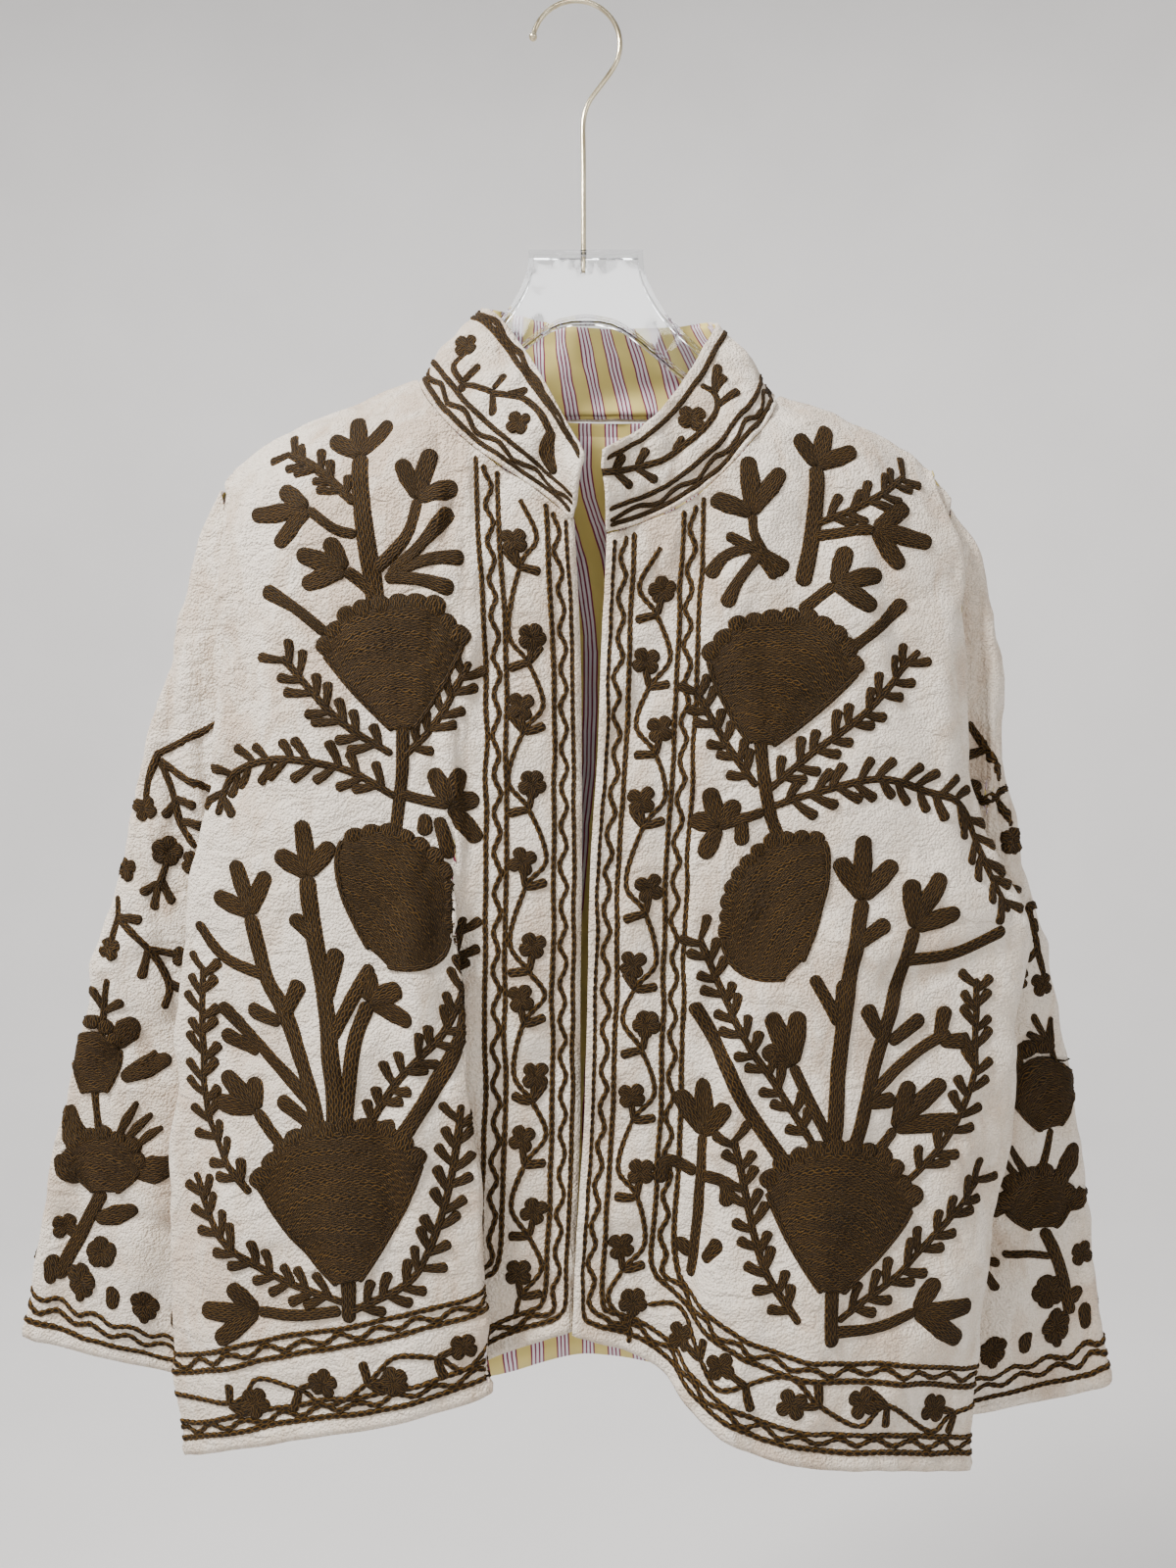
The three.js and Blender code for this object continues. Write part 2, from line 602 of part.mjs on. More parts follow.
add("front_right", frontMesh(frontRight, neckRight, hemRight), velvet);
add("front_left", frontMesh(frontLeft, neckLeft, hemLeft), velvet);
add("back", backMesh(), velvet);
add("back_lining", backLiningMesh(), cotton);
add("sleeve_right", sleeveMesh(sleeveRight, "right"), velvet);
add("sleeve_left", sleeveMesh(sleeveLeft, "left"), velvet);
add("collar", collarMesh(), velvet);
add("collar_lining", collarLiningMesh(), cotton);
add("hanger", hangerMesh(), acrylic);
add("hanger_hook", hookMesh(), brass);

export default part;
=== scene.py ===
import math
import bpy
import numpy as np
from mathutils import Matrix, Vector
from mathutils.kdtree import KDTree


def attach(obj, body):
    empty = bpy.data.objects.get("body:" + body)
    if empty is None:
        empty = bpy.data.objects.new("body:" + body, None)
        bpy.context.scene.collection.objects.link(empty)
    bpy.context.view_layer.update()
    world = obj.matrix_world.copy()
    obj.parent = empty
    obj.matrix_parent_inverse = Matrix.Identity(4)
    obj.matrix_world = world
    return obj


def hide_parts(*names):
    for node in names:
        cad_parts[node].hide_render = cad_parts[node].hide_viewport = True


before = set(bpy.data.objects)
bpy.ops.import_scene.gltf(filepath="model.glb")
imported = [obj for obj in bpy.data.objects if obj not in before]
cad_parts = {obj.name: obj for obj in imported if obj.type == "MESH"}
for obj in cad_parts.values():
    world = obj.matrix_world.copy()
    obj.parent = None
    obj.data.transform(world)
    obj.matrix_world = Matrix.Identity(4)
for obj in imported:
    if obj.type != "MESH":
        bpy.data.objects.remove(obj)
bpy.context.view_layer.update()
mm = 0.001  # the tables below are in millimetres, the meshes in metres
rng = np.random.default_rng(11)


def table(names, rows):
    return dict(zip(names.split(), np.array(rows, float).T))


def hermite(t, p1, m1, p2, m2):
    t2, t3 = t * t, t * t * t
    return (2 * t3 - 3 * t2 + 1) * p1 + (t3 - 2 * t2 + t) * m1 + (3 * t2 - 2 * t3) * p2 + (t3 - t2) * m2


# smooth value of one column at places along a table that is ordered by its key
def along(rows, key, place, name):
    keys, values = rows[key], rows[name]
    if keys[0] > keys[-1]:
        keys, values = keys[::-1], values[::-1]
    secant = np.diff(values) / np.diff(keys)
    slope = np.concatenate([secant[:1], (secant[1:] + secant[:-1]) / 2, secant[-1:]])
    place = np.clip(place, keys[0], keys[-1])
    i = np.clip(np.searchsorted(keys, place, side="right") - 1, 0, len(keys) - 2)
    step = keys[i + 1] - keys[i]
    return hermite((place - keys[i]) / step, values[i], slope[i] * step, values[i + 1], slope[i + 1] * step)


# smooth values at places u between controls that stand at 0, 1, 2 and so on
def spline(controls, u):
    controls = np.asarray(controls, float)
    first, last = 2 * controls[:1] - controls[1:2], 2 * controls[-1:] - controls[-2:-1]
    padded = np.concatenate([first, controls, last])
    i = np.minimum(np.asarray(u).astype(int), len(controls) - 2)
    t = u - i
    if controls.ndim > 1:
        t = t[:, None]
    before, start, end, after = (padded[i + k] for k in range(4))
    return hermite(t, start, (end - before) / 2, end, (after - start) / 2)


def unit(vectors):
    return vectors / np.maximum(np.linalg.norm(vectors, axis=-1, keepdims=True), 1e-9)


# the length of a line of points up to each of them
def runAlong(points):
    return np.concatenate([[0], np.cumsum(np.linalg.norm(np.diff(points, axis=0), axis=1))])


def shadeSmooth(mesh):
    mesh.polygons.foreach_set("use_smooth", [True] * len(mesh.polygons))


def newMesh(name, vertices, faces, *materials):
    mesh = bpy.data.meshes.new(name)
    mesh.from_pydata(np.asarray(vertices).tolist(), [], faces)
    mesh.validate()
    piece = bpy.data.objects.new(name, mesh)
    bpy.context.scene.collection.objects.link(piece)
    for material in materials:
        mesh.materials.append(material)
    shadeSmooth(mesh)
    return piece


def onlySelected(piece):
    bpy.ops.object.select_all(action="DESELECT")
    piece.select_set(True)
    bpy.context.view_layer.objects.active = piece


# one operator on the whole of the selected mesh
def editAll(operator, **settings):
    bpy.ops.object.mode_set(mode="EDIT")
    bpy.ops.mesh.select_all(action="SELECT")
    operator(**settings)
    bpy.ops.object.mode_set(mode="OBJECT")


def applyModifiers(piece):
    onlySelected(piece)
    for modifier in list(piece.modifiers):
        bpy.ops.object.modifier_apply(modifier=modifier.name)


# the jacket's own sizes
jacket = {
    "wall": 2.0, "visibleWall": 1.2, "seamGap": 0.3, "shoulderRoll": 28, "backRoll": 13,
    "turnOut": 0.35, "turnBack": 0.45,
    "neckPointRight": -103, "neckPointLeft": 131, "backMiddleX": (-100, 8, 116), "backWaves": 4.5,
    "wavePhase": 0.6, "liningInset": 4.2, "collarLift": 1.6, "collarBulge": 2.5, "collarLiningInset": 2.1,
    "neckMiddle": (14, -8),
}
frontColumns = "edge valley crest neck mid side turn seam".split()
frontNames = "z edgeX edgeY valleyX valleyY crestX crestY neckX neckY midX midY sideX sideY seamX seamY"
frontRight = table(frontNames, [
    [-240, -2, -46, -56, -45, -78, -44, -103, -42, -164, -38, -212, -22, -231, -3],
    [-320, -2, -46, -56, -45, -78, -44, -103, -42, -166, -38, -217, -24, -228, -5],
    [-360, 0, -43, -57, -44, -78, -44, -104, -43, -168, -40, -220, -27, -216, -9],
    [-420, 3, -39, -58, -43, -79, -45, -106, -45, -168, -42, -219, -28, -212, -11],
    [-500, 4, -38, -60, -43, -79, -46, -108, -48, -170, -45, -223, -29, -211, -8],
    [-560, 4, -38, -64, -43, -77, -48, -110, -51, -174, -47, -238, -30, -213, -4],
    [-640, 3, -38, -70, -41, -71, -52, -112, -57, -180, -50, -246, -30, -219, -3],
    [-720, 3, -37, -70, -39, -64, -55, -110, -60, -182, -53, -249, -31, -224, -3],
    [-800, 0, -36, -66, -38, -57, -56, -106, -62, -182, -55, -250, -32, -226, -3],
    [-880, -3, -36, -63, -39, -51, -57, -103, -63, -180, -56, -247, -34, -224, -3],
    [-945, -4, -36, -62, -39, -50, -57, -102, -63, -176, -56, -238, -36, -218, -3],
])
frontLeft = table(frontNames, [
    [-240, 20, -46, 60, -45, 92, -44, 131, -42, 182, -38, 222, -22, 246, -3],
    [-320, 20, -46, 60, -45, 92, -44, 131, -42, 184, -38, 228, -24, 244, -5],
    [-360, 19, -45, 60, -45, 92, -45, 131, -44, 188, -40, 241, -27, 236, -8],
    [-420, 16, -43, 59, -45, 92, -47, 130, -48, 188, -46, 242, -28, 232, -10],
    [-500, 13, -42, 58, -45, 90, -48, 130, -52, 190, -49, 245, -30, 232, -8],
    [-560, 9, -42, 57, -46, 89, -50, 130, -54, 194, -51, 263, -32, 238, -4],
    [-600, 8, -42, 57, -46, 88, -51, 130, -56, 198, -52, 280, -33, 246, -3],
    [-650, 7, -42, 56, -46, 88, -53, 130, -58, 196, -54, 274, -33, 246, -3],
    [-720, 5, -42, 54, -45, 87, -55, 130, -60, 194, -56, 269, -33, 238, -3],
    [-800, 0, -43, 50, -43, 84, -60, 128, -64, 192, -59, 256, -34, 230, -3],
    [-880, -3, -43, 46, -41, 80, -65, 126, -69, 190, -62, 248, -36, 224, -3],
    [-945, -4, -43, 45, -40, 79, -66, 125, -70, 188, -62, 241, -38, 220, -3],
])
hemRight = [-850, -872, -880, -893, -909, -928, -930, -926]  # under each front column
hemLeft = [-850, -868, -896, -915, -923, -936, -937, -932]
neckRight = table("x z", [
    [-110, -226], [-103, -246], [-98, -260], [-84, -281], [-66, -299], [-49, -312], [-32, -323],
    [-16, -335], [6, -352],
])
neckLeft = table("x z", [
    [10, -360], [20, -356], [42, -349], [62, -340], [82, -326], [98, -311], [112, -294], [125, -275],
    [131, -256], [137, -238],
])
ridge = table("x z", [
    [-236, -325], [-229, -315], [-222, -306], [-207, -293], [-184, -281], [-152, -267], [-120, -254],
    [-103, -247], [-60, -236], [6, -228], [70, -238], [131, -257], [167, -270], [199, -284], [222, -298],
    [236, -312], [244, -325], [252, -340],
])
backNeck = table("x z", [
    [-110, -240], [-103, -248], [-80, -255], [-45, -262], [12, -266], [70, -265], [107, -261],
    [131, -258], [138, -252],
])
backRows = table(
    "z seamRightX seamRightY cornerRightX cornerRightY middleY cornerLeftX cornerLeftY"
    " seamLeftX seamLeftY waves", [
        [-240, -231, 3, -196, 20, 31, 208, 20, 246, 3, 0],
        [-320, -228, 5, -196, 21, 30, 210, 21, 244, 5, 0.6],
        [-360, -217, 9, -194, 22, 28, 212, 22, 236, 9, 1.2],
        [-420, -212, 13, -190, 22, 26, 212, 22, 232, 13, 2],
        [-500, -211, 8, -190, 20, 25, 211, 20, 232, 8, 3],
        [-560, -213, 0, -192, 17, 25, 217, 17, 238, 0, 4],
        [-640, -219, -0.6, -198, 15, 24, 226, 15, 246, -0.6, 5],
        [-720, -224, -0.6, -202, 15, 24, 217, 15, 238, -0.6, 5.5],
        [-800, -226, -0.6, -203, 15, 23, 208, 15, 230, -0.6, 6],
        [-880, -224, -0.6, -201, 15, 22, 203, 15, 224, -0.6, 6.5],
        [-945, -218, -0.6, -196, 15, 22, 200, 15, 220, -0.6, 6.5],
    ])
backHem = table("x z", [
    [-240, -922], [-150, -915], [-70, -907], [-40, -899], [0, -893], [40, -897], [110, -909], [240, -926],
])
sleeveNames = "s outX outY outZ inX inY inZ half"  # its upper and its lower line, and half its fullness
sleeveRight = table(sleeveNames, [
    [0, -232, 0, -319, -213.5, 3, -547, 15],
    [0.06, -246, 0, -352, -221, 9, -563, 14],
    [0.14, -256, 1, -400, -231, 16, -584, 13],
    [0.26, -271, 3, -458, -240, 20, -620, 12],
    [0.42, -295, 7, -545, -243, 24, -680, 12],
    [0.6, -321, 12, -648, -240, 27, -752, 12],
    [0.8, -349, 17, -764, -232, 29, -836, 12],
    [1, -368, 20, -877, -224, 30, -914, 11],
])
sleeveLeft = table(sleeveNames, [
    [0, 247, 0, -330, 234.5, 3, -547, 15],
    [0.06, 264, 0, -362, 247, 10, -562, 16],
    [0.14, 269, 1, -408, 262, 17, -584, 18],
    [0.26, 273, 3, -468, 268, 22, -622, 19],
    [0.42, 292, 7, -554, 268, 26, -684, 19],
    [0.6, 316, 12, -650, 253, 28, -762, 18],
    [0.8, 338, 17, -772, 233, 30, -854, 17],
    [1, 357, 20, -907, 212, 31, -940, 15],
])
armhole = {"topRight": -319, "topLeft": -330, "foot": -547, "gap": 1.9, "blend": 0.07}
collarTop = table("w x y z", [
    [0, 6, -62, -311], [0.22, -9, -50, -281], [0.45, -23, -36, -253], [0.65, -36, -23, -229],
    [0.83, -50, -11, -209], [1, -63, 4, -197], [1.2, -50, 20, -194.5], [1.4, -20, 27.5, -199],
    [1.6, 22, 29, -203], [1.8, 64, 25, -203], [2, 91, 8, -206], [2.2, 83, -9, -226],
    [2.45, 68, -24, -254], [2.72, 46, -41, -285], [3, 16, -59, -308],
])
tipCrease = {"depth": 7, "place": 0.22, "lean": 0.18, "width": 0.09, "reach": 0.4}


def fallFrom(top, z, roll):
    return 1 - np.exp(-np.maximum(top - z, 0) / roll)


# a panel's middle from the ridge plane, so that inner faces stand a seam's gap apart there
def ridgeOffset(slope):
    return jacket["seamGap"] * 0.6 + jacket["wall"] / 2 / np.hypot(1, slope)


def frontControl(panel, column, z):
    if column == "turn":
        sideX, sideY = frontControl(panel, "side", z)
        seamX, seamY = frontControl(panel, "seam", z)
        return sideX + (seamX - sideX) * jacket["turnOut"], sideY + (seamY - sideY) * jacket["turnBack"]
    return along(panel, "z", z, column + "X"), along(panel, "z", z, column + "Y")


# every place of a front, as rows of equal height
def frontField(panel, u, z):
    controls = [frontControl(panel, column, z) for column in frontColumns]
    x = spline([c[0] for c in controls], u).T
    y = spline([c[1] for c in controls], u).T
    fall = fallFrom(along(ridge, "x", x, "z"), z[:, None], jacket["shoulderRoll"])
    y = y * fall - ridgeOffset(y / jacket["shoulderRoll"])
    return np.stack([x, y, np.broadcast_to(z[:, None], x.shape)], axis=2)


def backField(u, z):
    row = lambda name: along(backRows, "z", z, name)
    middle, right, left = row("middleY"), row("cornerRightY"), row("cornerLeftY")
    flat = [np.full_like(z, x) for x in jacket["backMiddleX"]]
    x = spline([
        row("seamRightX"), row("cornerRightX"), *flat, row("cornerLeftX"), row("seamLeftX"),
    ], u * 6).T
    depth = spline([
        row("seamRightY"), right, (middle * 3 + right) / 4, middle, (middle * 3 + left) / 4, left,
        row("seamLeftY"),
    ], u * 6).T
    wave = np.sin(np.pi * u) ** 0.7 * np.cos((u * jacket["backWaves"] + jacket["wavePhase"]) * 2 * np.pi)
    depth = depth + row("waves")[:, None] * wave
    fall = fallFrom(along(ridge, "x", x, "z"), z[:, None], jacket["backRoll"])
    y = depth * fall + ridgeOffset(depth / jacket["backRoll"])
    return np.stack([x, y, np.broadcast_to(z[:, None], x.shape)], axis=2)


def power(value, exponent):
    return np.sign(value) * np.abs(value) ** exponent


def sleeveTube(sleeve, s, across, forward):
    at = lambda name: along(sleeve, "s", s, name)[:, None]
    share = (1 + across) / 2
    x = at("inX") + (at("outX") - at("inX")) * share
    y = at("inY") + (at("outY") - at("inY")) * share - at("half") * forward
    z = at("inZ") + (at("outZ") - at("inZ")) * share
    return np.stack([x, y, z], axis=2)


def sleeveField(sleeve, panel, side, s, angle):
    across, forward = power(np.cos(angle), 0.85), power(np.sin(angle), 0.8)
    points = sleeveTube(sleeve, s, across, forward)
    z = armhole["foot"] + (armhole["top" + side] - armhole["foot"]) * (1 + across) / 2
    seamX, seamY = frontControl(panel, "seam", z)
    behindX = along(backRows, "z", z, f"seam{side}X")
    behindY = along(backRows, "z", z, f"seam{side}Y")
    outward = -armhole["gap"] if side == "Right" else armhole["gap"]
    hole = np.stack([
        np.where(forward > 0, seamX, behindX) + outward, np.where(forward > 0, seamY, behindY), z,
    ], axis=1)
    fade = np.exp(-s / armhole["blend"]) * (1 - s)
    start = sleeveTube(sleeve, np.zeros(1), across, forward)[0]
    return points + fade[:, None, None] * (hole - start)[None]


def fieldNormals(points, ring):
    if ring:
        after, before = np.roll(points, -1, axis=1), np.roll(points, 1, axis=1)
        after[:, -1], before[:, 0] = points[:, 1], points[:, -2]
        across = after - before
    else:
        across = np.gradient(points, axis=1)
    return unit(np.cross(across, np.gradient(points, axis=0)))


# a fine grid of points, the rows' own coordinate, and the cloth's reach along each row
def makePanel(rows, points, outside, zero=0, ring=False):
    panel = {"rows": rows, "points": points, "ring": ring}
    steps = np.linalg.norm(np.diff(points, axis=1), axis=2)
    reach = np.concatenate([np.zeros((len(rows), 1)), np.cumsum(steps, axis=1)], axis=1)
    panel["reach"] = reach - reach[:, zero:zero + 1]
    normals = fieldNormals(points, ring)
    middle = normals[len(rows) // 2, points.shape[1] // 3]
    panel["sign"] = 1 if np.dot(middle, outside) > 0 else -1
    panel["normals"] = normals * panel["sign"]
    return panel


def push(panel, amount):
    panel["points"] = panel["points"] + panel["normals"] * amount[..., None]
    panel["normals"] = fieldNormals(panel["points"], panel["ring"]) * panel["sign"]


def sample(field, row, column):
    i = np.clip(np.floor(row).astype(int), 0, field.shape[0] - 2)
    j = np.clip(np.floor(column).astype(int), 0, field.shape[1] - 2)
    f, g = row - i, column - j
    if field.ndim == 3:
        f, g = f[..., None], g[..., None]
    low = field[i, j] * (1 - g) + field[i, j + 1] * g
    high = field[i + 1, j] * (1 - g) + field[i + 1, j + 1] * g
    return low * (1 - f) + high * f


# grid row and column of a place given by its reach along the cloth and its row coordinate
def gridPlace(panel, reach, rows):
    row = np.interp(rows, panel["rows"], np.arange(len(panel["rows"])))
    i = np.clip(row.astype(int), 0, len(panel["rows"]) - 2)
    f = (row - i)[:, None]
    line = panel["reach"][i] * (1 - f) + panel["reach"][i + 1] * f
    j = np.clip((line < reach[:, None]).sum(axis=1) - 1, 0, line.shape[1] - 2)
    picked = np.arange(len(j))
    start, end = line[picked, j], line[picked, j + 1]
    return row, j + np.clip((reach - start) / np.maximum(end - start, 1e-6), -0.5, 1.5)


creaseDepth = 1.5  # times each crease's own height


# soft troughs and ridges: each runs between two places seen from the front
def crease(panel, creases):
    x, z = panel["points"][..., 0], panel["points"][..., 2]
    total = np.zeros_like(x)
    for x1, z1, x2, z2, depth, width in creases:
        length = math.hypot(x2 - x1, z2 - z1)
        t = ((x - x1) * (x2 - x1) + (z - z1) * (z2 - z1)) / length ** 2
        inside = np.clip(t, 0, 1)
        gap = np.hypot(x - x1 - inside * (x2 - x1), z - z1 - inside * (z2 - z1))
        ends = np.clip(np.minimum(t, 1 - t) * 3 + 0.35, 0, 1)
        total += creaseDepth * depth * np.exp(-(gap / width) ** 2) * ends
    push(panel, total)

# embroidery: grids of chain stitch, charted on the cloth and raised from it
chain = {"row": 2.9, "link": 5.2, "step": 2.0, "lift": 1.5, "sunk": 0.5, "plump": 1.28}


def newSketch(panel, locate, chart=None, coarse=1.0):
    return {
        "panel": panel, "locate": locate, "chart": chart, "coarse": coarse,
        "places": [], "uvs": [], "faces": [], "count": 0,
    }


# on a panel that is charted by its reach and its row, between a low and a high edge
def clothLocator(panel, low, high, margin=2.0):
    columns = np.arange(panel["points"].shape[1])

    def locate(flat):
        row, column = gridPlace(panel, flat[:, 0], flat[:, 1])
        inside = (flat[:, 1] > np.interp(column, columns, low) + margin)
        inside &= (flat[:, 1] < np.interp(column, columns, high) - margin)
        inside &= (column >= 0) & (column <= columns[-1])
        return row, np.clip(column, 0, columns[-1]), inside
    return locate


# on some columns of a panel, charted as seen from the front: across from the middle, and down
def viewLocator(panel, side, first, last):
    across = side * (panel["points"][:, first:last, 0] - middleX)
    down = -panel["points"][:, first:last, 2]
    tree = KDTree(across.size)
    for k, spot in enumerate(zip(across.ravel(), down.ravel())):
        tree.insert((*spot, 0), k)
    tree.balance()
    acrossStep, downStep = np.gradient(across), np.gradient(down)

    def locate(flat):
        found = [tree.find((*spot, 0)) for spot in flat]
        i, j = np.unravel_index([k for _, k, _ in found], across.shape)
        a, b, c, d = (step[i, j] for step in (*acrossStep, *downStep))
        missA, missD = flat[:, 0] - across[i, j], flat[:, 1] - down[i, j]
        scale = a * d - b * c
        scale = np.where(np.abs(scale) < 0.05, 0.05, scale)
        row = i + np.clip((missA * d - missD * b) / scale, -1, 1)
        column = j + np.clip((missD * a - missA * c) / scale, -1, 1)
        gap = np.array([gap for _, _, gap in found])
        edge = (i > 0) & (i < across.shape[0] - 1)
        return row, first + column, (gap < 2.6) & edge
    return locate


def longestRun(inside):
    turns = np.flatnonzero(np.diff(np.concatenate([[0], inside.astype(int), [0]])))
    if len(turns) == 0:
        return 0, 0
    starts, ends = turns[::2], turns[1::2]
    k = np.argmax(ends - starts)
    return starts[k], ends[k]


# a closed patch of stitches. flat is its grid of charted places, height its relief, and links and
# rows count the stitches along and across. What lies off the cloth is left out.
def patch(sketch, flat, height, links, rows):
    across = height.shape[1]
    row, column, inside = sketch["locate"](flat.reshape(-1, 2))
    start, end = longestRun(inside.reshape(height.shape).all(axis=1))
    if end - start < 3:
        return
    places = np.stack([row, column, height.ravel()], axis=1).reshape(-1, across, 3)[start:end]
    uvs = np.stack([links, rows], axis=2)[start:end]
    count = end - start
    width = np.linalg.norm(flat[(start + end) // 2, -1] - flat[(start + end) // 2, 0])
    inner = np.linspace(0, across - 1, int(width / 9) + 2).astype(int)[1:-1]
    under = places[:, inner].copy()
    under[..., 2] = -chain["sunk"]
    base = sketch["count"]
    top = base + np.arange(count * across).reshape(count, across)
    low = base + top.size + np.arange(under.shape[0] * under.shape[1]).reshape(count, -1)
    belly = np.hstack([top[:, :1], low, top[:, -1:]])
    sheets = []
    for grid, step in ((top, 1), (belly, -1)):
        quads = np.stack([grid[:-1, :-1], grid[:-1, 1:], grid[1:, 1:], grid[1:, :-1]], axis=2).reshape(-1, 4)
        sheets += quads[:, ::step].tolist()
    marks = [0, *inner.tolist(), across - 1]
    for tip, step in ((0, -1), (-1, 1)):
        line, rim = top[tip].tolist(), belly[tip].tolist()
        for k in range(len(marks) - 1):
            part = line[marks[k]:marks[k + 1] + 1]
            part += [corner for corner in (rim[k + 1], rim[k]) if corner not in part]
            sheets.append(part[::step])
    middle = places[count // 2]
    aside, ahead = middle[-1] - middle[0], places[-1, across // 2] - places[0, across // 2]
    if (aside[1] * ahead[0] - aside[0] * ahead[1]) * sketch["panel"]["sign"] < 0:
        sheets = [face[::-1] for face in sheets]
    sketch["places"] += [places.reshape(-1, 3), under.reshape(-1, 3)]
    sketch["uvs"] += [uvs.reshape(-1, 2), uvs[:, inner].reshape(-1, 2)]
    sketch["faces"] += sheets
    sketch["count"] += places.shape[0] * across + under.shape[0] * under.shape[1]


# a ribbon between two side lines, arched across, with a round of relief for each row of stitches
def ribbon(sketch, left, right, reach, rows, lift, phase, crown=3.0):
    across = max(5, 2 * rows + 1)
    q = np.linspace(-1, 1, across)
    count = len(left)
    flat = ((left + right) / 2)[:, None] + ((right - left) / 2)[:, None] * q[None, :, None]
    height = np.asarray(lift)[:, None] * np.maximum(1 - np.abs(q) ** crown, 0) ** 0.5
    inner = np.ones(across)
    inner[[0, -1]] = 0
    if rows > 1:
        height = height + np.where(np.arange(across) % 2 == 1, 0.2, -0.16) * inner
    i, j = np.indices(height.shape)
    height = height + np.where((i + j // 2) % 2 == 0, 0.1, -0.1) * inner
    height[:, [0, -1]] = -chain["sunk"]
    height[[0, -1]] = np.minimum(height[[0, -1]], 0.1)
    links = np.repeat((reach / chain["link"] + phase)[:, None], across, axis=1)
    # a fill's rows count from a number of their own, and a single row stands at 0, its links unshifted
    first = rng.integers(1, 60) if rows > 1 else 0
    patch(sketch, flat, height, links, np.tile((q + 1) / 2 * rows + first, (count, 1)))


def pathThrough(points):
    points = np.array(points, float)
    if len(points) == 2:
        return points, np.array([0, math.dist(*points)]), np.array([0, math.dist(*points)])
    dense = spline(points, np.linspace(0, len(points) - 1, 10 * (len(points) - 1) + 1))
    reach = runAlong(dense)
    return dense, reach, reach[::10]


def pointsAt(dense, reach, places):
    return np.column_stack([np.interp(places, reach, dense[:, k]) for k in range(dense.shape[1])])


# a stroke of stitches along a path, with round ends; width is one number or one for each point
def stroke(sketch, points, width, lift=None, blunt=0.85):
    dense, reach, marks = pathThrough(points)
    total = reach[-1]
    widths = np.full(len(points), width) if np.ndim(width) == 0 else np.array(width, float)
    widths = widths * chain["plump"]
    start, end = (min(widths[k] / 2 * blunt, total * 0.4) for k in (0, -1))
    step = sketch["coarse"] * (chain["step"] if widths.max() > 1.5 * chain["row"] else chain["link"] / 3.5)
    count = max(2, round((total - start - end) / step) + 1)
    shares = np.array([0, 0.1, 0.35, 0.66])
    places = np.concatenate([
        start * shares, np.linspace(start, total - end, count), total - end * shares[::-1],
    ])
    centre = pointsAt(dense, reach, places)
    direction = unit(np.gradient(centre, axis=0))
    side = np.column_stack([-direction[:, 1], direction[:, 0]])
    nearEnd = np.minimum(np.minimum(places / start, (total - places) / end), 1)
    roundness = np.sqrt(np.clip(1 - (1 - nearEnd) ** 2, 0, 1))
    half = np.interp(places, marks, widths) / 2 * np.maximum(roundness, 0.06)
    rows = max(1, round(widths.max() / chain["row"]))
    phase = rng.random()
    # a single row swells at the middle of each link
    swell = np.full(len(places), 0.7)
    if rows == 1:
        swell = np.abs(np.sin((places / chain["link"] + phase) * np.pi))
    half = half * (0.8 + 0.3 * swell)
    top = (lift or chain["lift"]) * np.minimum(1, 0.5 + half / 3) * (0.86 + 0.2 * swell)
    top = top + rng.uniform(-0.12, 0.12)
    ribbon(sketch, centre + side * half[:, None], centre - side * half[:, None], places, rows,
           top * np.maximum(roundness, 0.2) ** 0.7, phase)


# a flower head: its rows and links against a plain stroke's, its relief, and its rim's and lobes' strokes
head = {
    "rows": 1.25, "links": 1.3, "lift": 2.0, "rowRelief": 0.14, "linkRelief": 0.1, "unevenness": 0.1,
    "rounding": 0.5, "rim": 3.6, "rimLift": 2.0, "lobeLift": 2.35,
}


# a filled flower head: rows of stitches follow its rim, and a row of short lobes stands beyond it
def fan(sketch, foot, rim, lobes, footWidth, cap, bow=0.0):
    foot = np.array(foot, float)
    dense, reach, _ = pathThrough(rim)
    girth = reach[-1]
    edge = pointsAt(dense, reach, np.linspace(0, girth, max(7, round(girth / 2.3 / sketch["coarse"]))))
    aside = unit(edge[-1] - edge[0])
    q = np.linspace(-1, 1, len(edge))
    roots = foot + aside * q[:, None] * footWidth / 2
    bends = (roots + edge) / 2 + aside * q[:, None] * bow
    length = np.linalg.norm(edge[len(edge) // 2] - foot)
    t = np.linspace(0, 1, max(6, round(length / 1.4 / sketch["coarse"])))[:, None, None]
    flat = roots * (1 - t) ** 2 + bends * 2 * t * (1 - t) + edge * t ** 2
    half = np.linalg.norm(flat[:, -1] - flat[:, 0], axis=1)[:, None] / 2
    rows = np.broadcast_to(t[..., 0] * length / chain["row"] * head["rows"], flat.shape[:2])
    rows = rows + 0.5 * np.sin(q[None] * 5 + rows * 0.7) * np.sin(rows * 0.9)
    links = q[None] * half / chain["link"] * head["links"]
    height = head["lift"] + head["rowRelief"] * np.sin(rows * 2 * np.pi)
    height = height + head["linkRelief"] * np.sin(links * 2 * np.pi)
    height = height + rng.normal(0, head["unevenness"], height.shape)
    height = height - head["rounding"] * np.abs(q[None]) ** 6
    height[:, [0, -1]] = -chain["sunk"]
    height[[0, -1]] = -chain["sunk"]
    patch(sketch, flat, height, links, rows)
    for column, inward in ((0, aside), (-1, -aside)):
        stroke(sketch, flat[::5, column] + inward * 0.8, head["rim"], lift=head["rimLift"])
    for k in range(lobes):
        middle = pointsAt(dense, reach, np.array([(k + 0.5) / lobes * girth]))[0]
        ahead = unit(middle - foot + aside * (2 * (k + 0.5) / lobes - 1) * bow)
        width = girth / lobes * rng.uniform(0.9, 1.06)
        tip = middle + ahead * cap * rng.uniform(0.55, 0.95)
        stroke(sketch, [middle - ahead * 6, tip], width, lift=head["lobeLift"])


